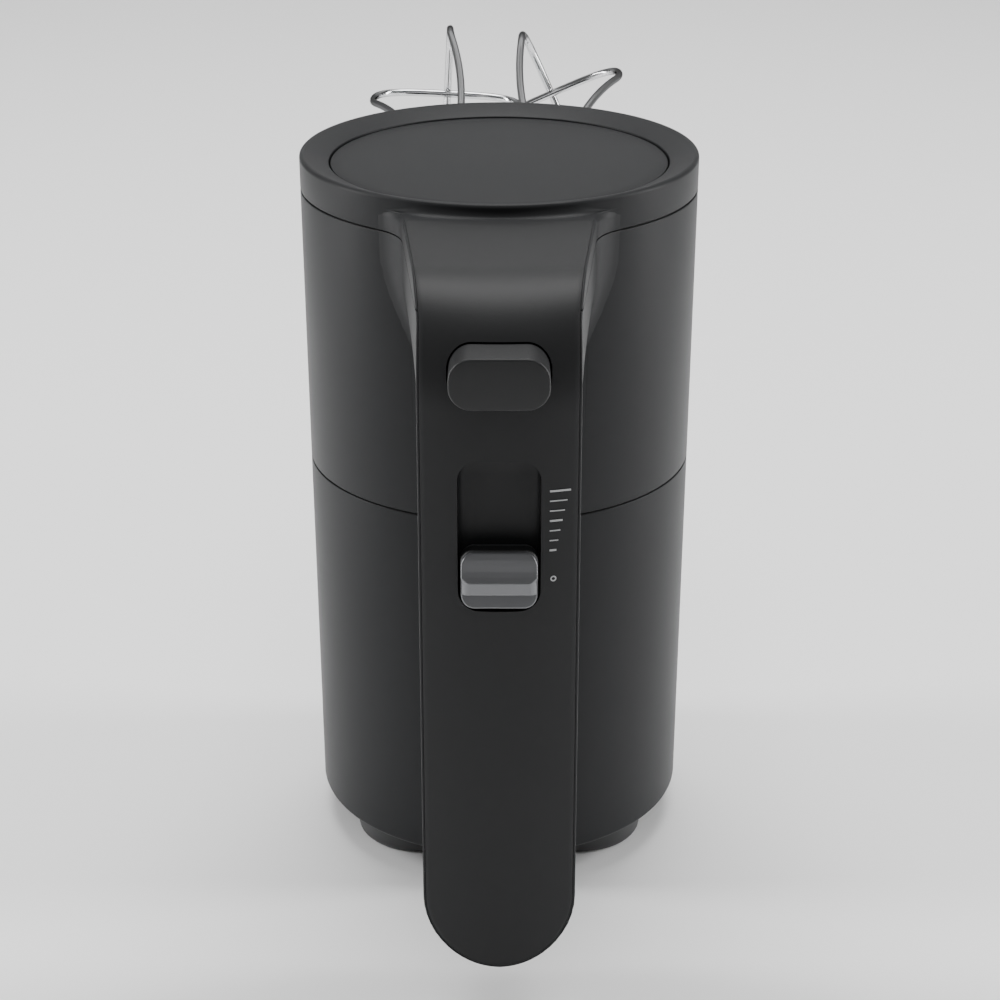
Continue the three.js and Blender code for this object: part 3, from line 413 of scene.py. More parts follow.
def makeRearShell():
    floorTop = rearZ + shell["floor"]
    top = midSeamZ - shell["seam"]
    corners = [
        (0, rearZ, 0), (bodyRadiusAt(rearZ), rearZ, shell["rearEdge"]),
        (bodyRadiusAt(top), top, shell["seamEdge"]), (bodyRadiusAt(top) - shell["wall"], top, 0.2),
        (bodyRadiusAt(floorTop) - shell["wall"], floorTop, 2), (0, floorTop, 0),
    ]
    cup = turned([(p.x, p.y) for p in rounded(corners, 6)], shell["segments"])
    gap = batteryWell["clearance"]
    mouth = lofted([upright(batteryOutline(gap), rearZ - 2), upright(batteryOutline(gap), floorTop + 1)])
    latchRadius = latchHigh.x + gap
    latchProfile = [(0, 30), (latchRadius, 30), (latchRadius, 60), (0, 60)]
    latchHole = turned(latchProfile, 48, (0, (latchLow.z + latchHigh.z) / 2), "y")
    screwProfile = [(0, rearZ - 1), (2.8, rearZ - 1), (2.8, rearZ + 2), (0, rearZ + 2)]
    screwHoles = [turned(screwProfile, 32, (centre.x, centre.y)) for centre in screwCentres()]
    mesh = carved(cup, [mouth, latchHole, *screwHoles])
    finishPiece("rearShell", mesh, "housing", "body_shell", ["rear_housing"], 30)
    channelTop = caseHigh.z - batteryWell["belowTop"]
    inner = batteryOutline(gap)
    outer = batteryOutline(batteryWell["sleeve"])
    sleeveRings = [
        upright(inner, floorTop - 0.5), upright(outer, floorTop - 0.5), upright(outer, channelTop),
        upright(inner, channelTop), upright(inner, floorTop - 0.5),
    ]
    newPiece("batteryChannel", *lofted(sleeveRings, caps=False), "housing", "body_shell")


def screwCentres():
    names = ["right", "front", "left", "back"]
    boxes = [limits(f"rear_screw_{name}") for name in names]
    return [(low + high) / 2 for low, high in boxes]


grip = {
    "halfWidth": 15.9, "flare": 0.0935, "flareFrom": -92.0, "corner": 22.4, "finger": 14.0,
    "underFillet": 10.0, "sideFillet": 10.7, "backRound": 7.0, "neckRound": 11.0, "crown": 50.0,
    "edge": 0.35, "rim": 0.45, "gap": 0.07, "wall": 2.4, "heel": 7.0,
    "coverThickness": 1.3, "coverFromY": -46.3,
}


def smooth(t):
    t = max(0.0, min(1.0, t))
    return t * t * (3 - 2 * t)


def alongLine(start, end, steps):
    start, end = Vector(start), Vector(end)
    return [start.lerp(end, i / steps) for i in range(steps + 1)]


def underNeckAt(y):
    radius = grip["underFillet"]
    wall = -bodyRadiusAt(neckUnderZ)
    along = max(0.0, min(radius, y - (wall - radius)))
    return neckUnderZ - radius + math.sqrt(radius ** 2 - along ** 2)


# from the body to the free end: outer point, inward normal, inner point, share of crown
def gripStations(inset=0.0):
    corner, finger = grip["corner"], grip["finger"]
    cornerY = corner - reach
    cornerZ = neckTopZ - corner
    fingerCentre = Vector((gripBackY + finger, neckUnderZ - finger))
    down = Vector((0, -1))
    neckYs = [-34.0, -35.5] + [-36.5 - 0.5 * i for i in range(22)] + [-48.5, -50.5, -52.5, -54.6]
    stations = [(Vector((y, neckTopZ)), down, Vector((y, underNeckAt(y))), 0.0) for y in neckYs]
    for i in range(1, 13):
        outerY = -54.6 + (cornerY + 54.6) * i / 12
        innerY = -54.6 + (fingerCentre.x + 54.6) * i / 12
        stations.append((Vector((outerY, neckTopZ)), down, Vector((innerY, neckUnderZ)), 0.0))
    for i in range(1, 29):
        angle = math.pi / 2 * (1 + i / 28)
        spoke = Vector((math.cos(angle), math.sin(angle)))
        outer = Vector((cornerY, cornerZ)) + spoke * corner
        stations.append((outer, -spoke, fingerCentre + spoke * finger, smooth(i / 28)))
    levelZ = cornerZ - 42
    inward = Vector((1, 0))
    outerLine = alongLine((-reach, cornerZ), (-reach, levelZ), 16)
    innerLine = alongLine((gripBackY, neckUnderZ - finger), (gripBackY, levelZ), 16)
    stations += [(outer, inward, inner, 1.0) for outer, inner in zip(outerLine[1:], innerLine[1:])]
    tipTop = gripTipZ + grip["halfWidth"]
    heights = [levelZ + (tipTop - levelZ) * i / 14 for i in range(1, 15)]
    turns = (8, 16, 24, 32, 40, 47, 54, 60, 65, 70, 74, 78, 81, 84, 86, 88, 89.2)
    tipRadius = grip["halfWidth"] - inset
    heights += [tipTop - tipRadius * math.sin(math.radians(turn)) for turn in turns]
    for z in heights:
        below = max(0.0, tipTop - z - grip["halfWidth"] + grip["heel"]) / grip["heel"]
        heel = grip["heel"] * (1 - math.sqrt(max(0.0, 1 - min(below, 1.0) ** 2)))
        stations.append((Vector((-reach, z)), inward, Vector((gripBackY - heel, z)), 1.0))
    return stations


def halfWidthAt(y, z, inset=0.0, filleted=True):
    centreZ = gripTipZ + grip["halfWidth"]
    if z < centreZ:
        return math.sqrt(max((grip["halfWidth"] - inset) ** 2 - (centreZ - z) ** 2, 0.0))
    flare = grip["flare"] * max(0.0, y - grip["flareFrom"])
    straight = grip["halfWidth"] + flare * smooth((z - 126) / 26)
    if not filleted or z < neckUnderZ - 16 or y < -60:
        return straight - inset
    wall = bodyRadiusAt(z)
    radius = max(0.3, grip["sideFillet"] * smooth((z - 122) / 34))
    centreX = straight + radius
    centreY = -math.sqrt((wall + radius) ** 2 - centreX ** 2)
    endY = centreY * wall / (wall + radius)
    if y <= centreY:
        return straight - inset
    if y < endY:
        return centreX - math.sqrt(radius ** 2 - (y - centreY) ** 2) - inset
    sunk = 0.02 + 0.4 * min(1.0, (y - endY) / 2)
    return math.sqrt((wall - sunk) ** 2 - y ** 2) - inset


def crown(x, share):
    return share * (grip["crown"] - math.sqrt(grip["crown"] ** 2 - x ** 2))


def stationRing(station, section):  # a section is points of (x, inward, deep)
    outer, normal, inner, _ = station
    direction = (inner - outer).normalized()
    ring = []
    for x, inward, deep in section:
        point = outer + normal * inward + direction * deep
        ring.append((x, point.x, point.y))
    return ring


# a small fillet from the neck's top up to the front ring, fading out to both sides
def rootFillet():
    rings = []
    for i in range(61):
        angle = math.radians(-34.5 + 69 * i / 60)
        x = frontRadius * math.sin(angle)
        radius = 1.3 + 0.9 * smooth(abs(x) / 16)
        radius = 0.04 + radius * (1 - smooth((abs(x) - 15.5) / 9.0))
        skin = frontRadius - 0.02
        profile = [(frontRadius - 1, neckTopZ + radius), (skin, neckTopZ + radius)]
        for j in range(1, 9):
            turn = math.pi / 2 * j / 8
            away = skin + radius * (1 - math.cos(turn))
            profile.append((away, neckTopZ + radius * (1 - math.sin(turn))))
        profile += [(frontRadius + radius, neckTopZ - 0.3), (frontRadius - 1, neckTopZ - 0.3)]
        rings.append([(away * math.sin(angle), -away * math.cos(angle), z) for away, z in profile])
    return lofted(rings)


def shellSection(station, inset=0.0, faceInset=0.0):
    outer, normal, inner, share = station
    span = inner - outer
    depth = span.length - inset
    direction = span.normalized()
    half = halfWidthAt(outer.x, outer.y, inset)
    innerHalf = halfWidthAt(inner.x, inner.y, inset)
    nearWall = smooth((outer.x + 50) / 10) * (1 - share)
    edge = min(grip["edge"] + 1.3 * nearWall, half * 0.5)
    backRadius = grip["neckRound"] + (grip["backRound"] - grip["neckRound"]) * share - inset
    back = min(backRadius, innerHalf * 0.97 + 0.005)

    def shareAt(x):  # less depth to the sides, where the round body falls away
        if outer.x < -54.5:
            return 1.0
        wall = bodyRadiusAt(neckUnderZ)
        sag = wall - math.sqrt(wall ** 2 - x ** 2)
        return (outer.y - underNeckAt(outer.x - sag) - inset) / depth

    def fitted(inward, deep, cut):
        point = outer + normal * inward + direction * deep
        deep *= shareAt(halfWidthAt(point.x, point.y, inset))
        point = outer + normal * inward + direction * deep
        return halfWidthAt(point.x, point.y, inset) - cut, inward, deep

    right = []
    for i in range(15):
        x = (half - edge) * i / 14
        right.append((x, crown(x, share) + faceInset, 0))
    rimDepth = crown(half - edge, share) + faceInset
    for i in range(1, 4):
        angle = math.pi / 2 * i / 3
        right.append((half - edge + edge * math.sin(angle), rimDepth + edge * (1 - math.cos(angle)), 0))
    sideFrom = rimDepth + edge
    for i in range(1, 9):
        t = i / 8
        right.append(fitted(sideFrom * (1 - t), (depth - back) * t, 0.0))
    for i in range(1, 9):
        angle = math.pi / 2 * i / 8
        right.append(fitted(0.0, depth - back + back * math.sin(angle), back * (1 - math.cos(angle))))
    underHalf = right[-1][0]
    for i in range(1, 5):
        x = underHalf * (1 - i / 4)
        right.append((x, 0, depth * shareAt(x)))
    left = [(-x, inward, deep) for x, inward, deep in right[1:-1]][::-1]
    return right + left


def coverSection(station, inset, above, thickness):
    outer, _, _, share = station
    half = halfWidthAt(outer.x, outer.y, inset, filleted=False)
    soften = min(0.1, half * 0.5) if above == 0 else 0.0
    across = 32
    top = []
    for i in range(across + 1):
        x = (half - soften) * (1 - 2 * i / across)
        top.append((x, crown(x, share) - above, 0))
    edgeDepth = crown(half, share)
    rightEdge = [
        (half, edgeDepth + thickness, 0), (half, edgeDepth + soften - above, 0),
        (half - 0.3 * soften, edgeDepth + 0.3 * soften - above, 0),
    ]
    leftEdge = [(-x, inward, deep) for x, inward, deep in rightEdge[::-1]]
    under = []
    for i in range(1, 8):
        x = half * (2 * i / 8 - 1)
        under.append((x, crown(x, share) + thickness, 0))
    return rightEdge + top + leftEdge + under


def coverLoft(inset, above, thickness):
    stations = gripStations(inset)
    return lofted([stationRing(s, coverSection(s, inset, above, thickness)) for s in stations])


def behind(gap):  # everything on the body's side of the cover's upper edge
    y = grip["coverFromY"] + gap
    corners = [(-40, y), (40, y), (40, 0), (-40, 0)]
    return lofted([[(a, b, z) for a, b in corners] for z in (140, 180)])


def drum(radius, low=100, high=200, segments=160):
    return turned([(0, low), (radius, low), (radius, high), (0, high)], segments)


def splitBelow(mesh, z, keepBelow):
    work = bmesh.new()
    work.from_mesh(mesh)
    cut = bmesh.ops.bisect_plane(
        work, geom=work.verts[:] + work.edges[:] + work.faces[:], plane_co=(0, 0, z * mm),
        plane_no=(0, 0, 1), clear_outer=keepBelow, clear_inner=not keepBelow, dist=1e-7)
    edges = [e for e in cut["geom_cut"] if isinstance(e, bmesh.types.BMEdge)]
    bmesh.ops.holes_fill(work, edges=edges, sides=0)
    result = bpy.data.meshes.new("slice")
    work.to_mesh(result)
    work.free()
    return result


def meshData(mesh):
    vertices = [tuple(v.co / mm) for v in mesh.vertices]
    return vertices, [list(p.vertices) for p in mesh.polygons]


def wellIn(outline, centre, depth):
    return lofted([facingBack(outline, y, centre) for y in (-reach - 6, -reach + depth)])


def slotWell(grow, depth):
    centre = (coverSlot["low"] + coverSlot["high"]) / 2
    height = coverSlot["high"] - coverSlot["low"]
    outline = roundedRectangle(coverSlot["width"], height, coverSlot["round"], grow, 10)
    return wellIn(outline, centre, depth)


def buttonWell(grow, depth):
    centre = (buttonLow.z + buttonHigh.z) / 2
    return wellIn(roundedRectangle(*buttonSize(), ejectShape["round"], grow, 10), centre, depth)


def makeFrontShells():
    wall = grip["wall"]
    stations = gripStations()
    blank = lofted([stationRing(s, shellSection(s)) for s in stations])
    inside = [s for s in gripStations(wall) if s[0].x < -40 or s[0].y < 150]
    liningDepth = grip["coverThickness"] + 1.3
    cavity = lofted([stationRing(s, shellSection(s, wall, liningDepth)) for s in inside])
    bedBlank = coverLoft(grip["rim"], 2.0, grip["coverThickness"] + 0.06)
    bed = meshData(carved(bedBlank, [behind(grip["gap"])]))
    core = drum(frontRadius - 2.0, 60, 164.5)
    whole = carved(blank, [bed, cavity, core, slotWell(1.1, 5.6), buttonWell(0.6, 12)])
    lower = meshData(splitBelow(whole, ringSeamZ - shell["seam"], True))
    upper = meshData(splitBelow(whole, ringSeamZ + shell["seam"], False))
    low, high = midSeamZ + shell["seam"], ringSeamZ - shell["seam"]
    profile = wallProfile(low, high, shell["seamEdge"], shell["seamEdge"], shell["wall"])
    tube = turned(profile, shell["segments"], closed=True)
    openings = [cavity]
    for node in ("left_socket_collar", "right_socket_collar"):
        boxLow, boxHigh = limits(node)
        middle = (boxLow + boxHigh) / 2
        radius = (boxHigh.x - boxLow.x) / 2 + 0.2
        hole = [(0, 25), (radius, 25), (radius, 60), (0, 60)]
        openings.append(turned(hole, 48, (middle.x, middle.z), "y"))
    tubeMesh = meshData(carved(tube, openings))
    newPiece("frontShell", *joined(tubeMesh, lower), "housing", "body_shell", ["front_housing"], 30)

    innerRadius = capHigh.x + 0.3
    innerZ = rimZ - 2.6
    corners = [
        (bodyRadiusAt(ringSeamZ) - shell["wall"], ringSeamZ + shell["seam"], 0.2),
        (bodyRadiusAt(ringSeamZ), ringSeamZ + shell["seam"], shell["seamEdge"]),
        (frontRadius, rimZ - 0.05, 0.9), (innerRadius, innerZ, 0.35), (innerRadius, innerZ - 3.2, 0.1),
        (innerRadius - 2.5, innerZ - 3.2, 0), (innerRadius - 2.5, innerZ - 4.8, 0),
        (bodyRadiusAt(ringSeamZ) - shell["wall"], innerZ - 4.8, 0),
    ]
    hoop = turned([(p.x, p.y) for p in rounded(corners, 8)], shell["segments"], closed=True)
    newPiece("noseRing", *joined(hoop, upper, rootFillet()), "housing", "body_shell", ["nose_ring"], 30)
    # dark bands just inside the two seam gaps: painted shade, so that the gaps read as shadowed
    seams = []
    for z in (midSeamZ, ringSeamZ):
        outer = bodyRadiusAt(z) - 0.55
        inner = outer - 1.2
        band = [(inner, z - 0.6), (outer, z - 0.6), (outer, z + 0.6), (inner, z + 0.6)]
        seams.append(turned(band, shell["segments"], closed=True))
    newPiece("seamGapShade", *joined(*seams), "housing", "body_shell", material=gapShadeMaterial)


def makeCover():
    blank = coverLoft(grip["rim"] + grip["gap"], 0, grip["coverThickness"])
    mesh = carved(blank, [slotWell(0, 6), buttonWell(0.4, 6), behind(0.0)])
    finishPiece("gripCover", mesh, "housing", "handle_cover", ["handle_cover"], 30)


coverSlot = {"width": 16.3, "low": rimZ - 67.4, "high": rimZ - 35.5, "round": 4.2}


def makeTrack():  # the dished track that the knob slides in
    centre = (coverSlot["low"] + coverSlot["high"]) / 2
    height = coverSlot["high"] - coverSlot["low"]
    radius = coverSlot["round"]
    outside = [(-8.0, 5.2), (0.9, 5.2), (0.9, 0.75)]
    inside = [
        (0.35, 0.55), (0.06, 0.66), (0.0, 0.9), (-0.03, 2.5), (-0.25, 3.4), (-0.9, 4.1), (-2.1, 4.5),
        (-4.2, 4.68), (-6.4, 4.75), (-8.0, 4.76),
    ]
    rings = []
    for grow, depth in outside + inside:
        outline = roundedRectangle(coverSlot["width"], height, radius, grow, 10)
        follow = 0.9 if depth < 1.2 else 0.25
        rings.append([(p.x, -reach + depth + crown(p.x, follow), centre + p.y) for p in outline])
    newPiece("speedTrack", *lofted(rings), "housing", "handle_cover")


knobShape = {
    "round": 2.6, "rows": 170, "columns": 72, "floor": 3.2, "skirt": 0.05,
    "edge": [(0.0, 0.35), (3.3, 0.35), (3.9, 1.7), (6.3, 1.7), (7.3, 0.45), (12.0, 0.3)],
    "profile": [  # height above the lower end, and how proud the face stands there
        (0.0, 1.45), (3.3, 0.65), (3.6, 2.9), (3.9, 3.5), (6.4, 3.45), (6.6, 3.38),
        (7.6, 3.06), (8.6, 2.66), (9.6, 2.17), (10.6, 1.58), (11.6, 0.9), (12.0, 0.6),
    ],
}


def profileAt(height, table):
    for (low, first), (high, second) in zip(table, table[1:]):
        if height <= high:
            return first + (second - first) * max(0.0, height - low) / (high - low)
    return table[-1][1]


def insideRounded(x, y, width, height, radius):  # how far inside a rounded rectangle
    dx, dy = abs(x) - width / 2 + radius, abs(y) - height / 2 + radius
    return radius - math.hypot(max(dx, 0), max(dy, 0)) - min(max(dx, dy), 0)


def makeKnob():
    width = knobHigh.x - knobLow.x
    length = knobHigh.z - knobLow.z
    radius = knobShape["round"]
    rows, columns = knobShape["rows"], knobShape["columns"]
    vertices = []
    for j in range(rows + 1):
        z = length / 2 * math.sin(math.pi / 2 * (2 * j / rows - 1))
        over = max(0.0, abs(z) - length / 2 + radius)
        half = width / 2 - radius + math.sqrt(max(radius ** 2 - over ** 2, 0.0))
        steps = [z + length / 2 + step * 0.07 for step in range(-2, 3)]
        proud = sum(profileAt(step, knobShape["profile"]) for step in steps) / 5
        edge = profileAt(z + length / 2, knobShape["edge"])
        for i in range(columns + 1):
            x = half * math.sin(math.pi / 2 * (2 * i / columns - 1))
            near = edge - min(edge, max(0.0, insideRounded(x, z, width, length, radius)))
            drop = edge - math.sqrt(edge ** 2 - near ** 2)
            vertices.append((x, -reach - proud + drop, knobLow.z + length / 2 + z))
    across = columns + 1
    faces = []
    for j in range(rows):
        for i in range(columns):
            a = j * across + i
            faces.append([a, a + 1, a + across + 1, a + across])
    border = [i for i in range(across)]
    border += [j * across + columns for j in range(1, rows + 1)]
    border += [rows * across + i for i in range(columns - 1, -1, -1)]
    border += [j * across for j in range(rows - 1, 0, -1)]
    start = len(vertices)
    vertices += [(vertices[i][0], -reach + knobShape["floor"], vertices[i][2]) for i in border]
    for k in range(len(border)):
        n = (k + 1) % len(border)
        faces.append([border[k], start + k, start + n, border[n]])
    faces.append([start + k for k in range(len(border))])
    newPiece("speedKnob", vertices, faces, "speed_control", "speed_knob", ["speed_knob"], 40)
    # a dark block behind the satin cap: partly the knob's black base, partly painted shade on the knob's
    # top and sides
    skirt = []
    floor = knobShape["floor"]
    layers = [(-1.5, floor + 0.2), (0.1, floor - 0.9), (0.1, 0.1)]
    layers += [(0.0, knobShape["skirt"] - 0.1), (-3.0, -0.2)]
    for grow, depth in layers:
        outline = roundedRectangle(width, length, radius, grow, 10)
        skirt.append(facingBack(outline, -reach + depth, knobLow.z + length / 2))
    newPiece("knobShadeSkirt", *lofted(skirt), "speed_control", "inner_plastic")


ejectShape = {"round": 4.5, "edge": 0.45, "depth": 9.0}


def buttonSize():
    return buttonHigh.x - buttonLow.x, buttonHigh.z - buttonLow.z


def makeButton():
    width, height = buttonSize()
    centre = (buttonLow.z + buttonHigh.z) / 2
    faceY = buttonLow.y
    edge = ejectShape["edge"]
    rings = []
    layers = [(0.0, ejectShape["depth"]), (0.0, edge + 0.05)]
    for i in range(1, 7):
        turn = math.pi / 2 * i / 6
        layers.append((-edge * (1 - math.cos(turn)), edge * (1 - math.sin(turn)) + 0.15))
    layers += [(-edge - 0.8, 0.1), (-edge - 2.0, 0.03), (-4.0, 0.0), (-5.1, 0.0)]
    for grow, depth in layers:
        outline = roundedRectangle(width, height, ejectShape["round"], grow, 10)
        rings.append(facingBack(outline, faceY + depth, centre))
    newPiece("ejectButton", *lofted(rings), "eject_control", "eject_button", ["eject_button"], 40)


marks = {
    "count": 7, "pitch": 2.09, "firstX": 9.83, "topZ": rimZ - 41.93, "longest": 4.05, "shortest": 1.31,
    "thin": 0.23, "thick": 0.38, "proud": 0.05,
    "ringX": 10.65, "ringZ": rimZ - 60.65, "ringInner": 0.34, "ringOuter": 0.6,
}


def geometryTree(name, sizes):
    tree = bpy.data.node_groups.new(name, "GeometryNodeTree")
    tree.interface.new_socket(name="Geometry", in_out="OUTPUT", socket_type="NodeSocketGeometry")
    for key, value in sizes.items():
        kind = "NodeSocketInt" if isinstance(value, int) else "NodeSocketFloat"
        tree.interface.new_socket(name=key, in_out="INPUT", socket_type=kind)
    entry = tree.nodes.new("NodeGroupInput")
    return tree, {key: Link(tree, entry.outputs[key]) for key in sizes}


def endTree(tree, geometry, material):
    whole = geometry.node("GeometryNodeRealizeInstances", None, {0: geometry})
    painted = whole.node("GeometryNodeSetMaterial", None, {0: whole, 2: material})
    leave = tree.nodes.new("NodeGroupOutput")
    tree.links.new(painted.socket, leave.inputs[0])


def grown(tree, sizes):  # runs a tree with its sizes and gives the plain mesh
    holder = bpy.data.objects.new("grown", bpy.data.meshes.new("grown"))
    bpy.context.collection.objects.link(holder)
    modifier = holder.modifiers.new("grow", "NODES")
    modifier.node_group = tree
    for item in tree.interface.items_tree:
        if item.in_out == "INPUT":
            modifier[item.identifier] = sizes[item.name]
    return applied(holder)


def makeMarks():
    sizes = {key: marks[key] * mm for key in
             ("pitch", "firstX", "topZ", "longest", "shortest", "thin", "thick", "proud")}
    sizes.update({"bars": marks["count"], "faceY": -reach * mm, "crownRadius": grip["crown"] * mm})
    tree, size = geometryTree("speedMarks", sizes)
    line = addNode(tree, "GeometryNodeMeshLine", {"mode": "OFFSET"}, {"Count": size["bars"]})
    index = addNode(tree, "GeometryNodeInputIndex")
    share = index / (size["bars"] - 1)
    length = size["longest"] + (size["shortest"] - size["longest"]) * share ** 0.8
    third = index.math("MODULO", 3.0)
    heavy = third.math("LESS_THAN", 0.5)
    breadth = size["thin"] + (size["thick"] - size["thin"]) * heavy
    bar = addNode(tree, "GeometryNodeMeshGrid", None,
                  {"Size X": 1.0, "Size Y": 1.0, "Vertices X": 12, "Vertices Y": 2})
    standing = bar.node("GeometryNodeTransform", None, {"Geometry": bar, "Rotation": (math.pi / 2, 0, 0)})
    spot = addNode(tree, "ShaderNodeCombineXYZ", None,
                   {0: size["firstX"] + length * 0.5, 2: size["topZ"] - index * size["pitch"]})
    placed = line.node("GeometryNodeSetPosition", None, {"Geometry": line, "Position": spot})
    scale = addNode(tree, "ShaderNodeCombineXYZ", None, {0: length, 1: 1.0, 2: breadth})
    bars = placed.node("GeometryNodeInstanceOnPoints", None,
                       {"Points": placed, "Instance": standing, "Scale": scale})
    flat = bars.node("GeometryNodeRealizeInstances", None, {0: bars})
    place = addNode(tree, "GeometryNodeInputPosition")
    split = place.node("ShaderNodeSeparateXYZ", None, {0: place})
    square = split * split
    inner = (size["crownRadius"] * size["crownRadius"] - square).math("SQRT")
    depth = size["faceY"] + size["crownRadius"] - inner - size["proud"]
    laid = addNode(tree, "ShaderNodeCombineXYZ", None, {0: split, 1: depth, 2: split.output(2)})
    curved = flat.node("GeometryNodeSetPosition", None, {"Geometry": flat, "Position": laid})
    backed = {"Mesh": curved, "Offset": (0, 1, 0), "Offset Scale": 0.0001, "Individual": False}
    thick = curved.node("GeometryNodeExtrudeMesh", None, backed)
    flipped = curved.node("GeometryNodeFlipFaces", None, {"Mesh": curved})
    both = addNode(tree, "GeometryNodeJoinGeometry", None, {0: [thick, flipped]})
    endTree(tree, both, printMaterial)
    barsMesh = meshData(grown(tree, sizes))
    inner = marks["ringInner"]
    outer = marks["ringOuter"]
    dot = []
    for radius, depth in ((inner, 0.0), (outer, 0.0), (outer, 0.1), (inner, 0.1)):
        ring = []
        for i in range(32):
            angle = 2 * math.pi * i / 32
            x = marks["ringX"] + radius * math.cos(angle)
            y = -reach + crown(x, 1) - marks["proud"] + depth
            ring.append((x, y, marks["ringZ"] + radius * math.sin(angle)))
        dot.append(ring)
    dotMesh = lofted(dot + dot[:1], caps=False)
    newPiece("speedMarks", *joined(barsMesh, dotMesh), "housing", "speed_knob", material=printMaterial)


capShape = {"dome": 0.7, "rings": 14}


def makeCap():
    radius = capHigh.x
    dome = capShape["dome"]
    edgeZ = capHigh.z - dome
    profile = [
        (0, capLow.z), (radius, capLow.z), (radius, edgeZ - 0.45), (radius - 0.12, edgeZ - 0.14),
        (radius - 0.42, edgeZ),
    ]
    for i in range(1, capShape["rings"] + 1):
        share = 1 - i / capShape["rings"]
        profile.append((radius * share * 0.985, edgeZ + dome * (1 - share ** 2)))
    newPiece("frontCap", *turned(profile, 192), "housing", "front_cap", ["front_cap"])


footShape = {"round": 15.0, "edge": 1.6}


def makeFoot():
    width, depth = footHigh.x - footLow.x, footHigh.y - footLow.y
    edge = footShape["edge"]
    layers = [(-20.0, 0.0), (-8.0, 0.0)]
    for i in range(8):
        turn = math.pi / 2 * i / 7
        layers.append((-edge * (1 - math.sin(turn)), edge * (1 - math.cos(turn))))
    top = footHigh.z
    layers += [(0.0, top - 0.35), (-0.1, top - 0.1), (-0.35, top), (-20.0, top)]
    rings = []
    for grow, z in layers:
        rings.append(upright(roundedRectangle(width, depth, footShape["round"], grow, 12), z))
    newPiece("footBase", *lofted(rings), "battery_pack", "foot", ["battery_base"], 40)


def makeBatteryCase():
    low, high = caseLow.z, caseHigh.z
    layers = [(0.0, low), (0.0, high - 1.2), (-0.35, high - 0.35), (-1.2, high), (-6.0, high)]
    rings = [upright(batteryOutline(grow, 12), z) for grow, z in layers]
    slots = []  # where the terminals reach the cells
    for x in (-9, 9):
        slot = [Vector((x + a, b)) for a, b in ((-1.2, -5), (1.2, -5), (1.2, 5), (-1.2, 5))]
        slots.append(lofted([upright(slot, z) for z in (high - 4, high + 1)]))
    mesh = carved(lofted(rings), slots)
    finishPiece("batteryCase", mesh, "battery_pack", "inner_plastic", ["battery_case"], 35)


def makeLatch():
    radius = latchHigh.x
    outer = latchHigh.y
    profile = [
        (0, latchLow.y), (2, latchLow.y), (2, outer - 7), (radius, outer - 7), (radius, outer - 0.9),
        (radius - 0.25, outer - 0.3), (radius - 0.9, outer), (radius * 0.55, outer - 0.35),
        (0, outer - 0.55),
    ]
    centre = (0, (latchLow.z + latchHigh.z) / 2)
    shape = turned(profile, 64, centre, "y")
    newPiece("latchButton", *shape, "battery_latch", "inner_plastic", ["latch_button"])


screws = {"count": 4, "headRadius": 2.5, "headHeight": 1.6, "shankLength": 9.0}


def makeScrews():
    centres = screwCentres()
    names = [f"rear_screw_{name}" for name in ("right", "front", "left", "back")]
    ringRadius = max(c.x for c in centres)
    low = limits(names[0])[0].z
    sizes = {key: screws[key] * mm for key in ("headRadius", "headHeight", "shankLength")}
    sizes.update({"count": screws["count"], "ringRadius": ringRadius * mm, "low": low * mm})
    tree, size = geometryTree("screwRing", sizes)
    spread = {"Vertices": size["count"], "Radius": size["ringRadius"]}
    circle = addNode(tree, "GeometryNodeMeshCircle", None, spread)
    head = addNode(tree, "GeometryNodeMeshCylinder", None,
                   {"Vertices": 32, "Radius": size["headRadius"], "Depth": size["headHeight"]})
    socket = addNode(tree, "GeometryNodeMeshCylinder", None,
                     {"Vertices": 6, "Radius": size["headRadius"] * 0.5, "Depth": size["headHeight"]})
    lowered = addNode(tree, "ShaderNodeCombineXYZ", None, {2: size["headHeight"] * -0.45})
    drilled = socket.node("GeometryNodeTransform", None, {"Geometry": socket, "Translation": lowered})
    way = {"operation": "DIFFERENCE", "solver": "EXACT"}
    cut = addNode(tree, "GeometryNodeMeshBoolean", way, {0: head, 1: drilled})
    shank = addNode(tree, "GeometryNodeMeshCylinder", None,
                    {"Vertices": 20, "Radius": size["headRadius"] * 0.55, "Depth": size["shankLength"]})
    middle = (size["headHeight"] + size["shankLength"]) * 0.5
    raised = addNode(tree, "ShaderNodeCombineXYZ", None, {2: middle})
    shaft = shank.node("GeometryNodeTransform", None, {"Geometry": shank, "Translation": raised})
    screw = addNode(tree, "GeometryNodeJoinGeometry", None, {0: [cut, shaft]})
    ring = circle.node("GeometryNodeInstanceOnPoints", None, {"Points": circle, "Instance": screw})
    lift = addNode(tree, "ShaderNodeCombineXYZ", None, {2: size["low"] + size["headHeight"] * 0.5})
    placed = ring.node("GeometryNodeTransform", None, {"Geometry": ring, "Translation": lift})
    endTree(tree, placed, finishes["steel"])
    finishPiece("rearScrews", grown(tree, sizes), "housing", "steel", names, 35)


cage = {
    "neckRadius": 4.1, "radius": 22.0, "widestY": 162.0, "dome": 17.5, "twist": 0.55, "wire": 1.04,
    "squareness": 2 / 3.3, "domeShare": 0.3, "points": 161, "nest": 2.2, "softening": 10,
}
beaters = {
    "left": {"phase": 3.0, "twistSign": 1.0},
    "right": {"phase": -24.0, "twistSign": -1.0},
}


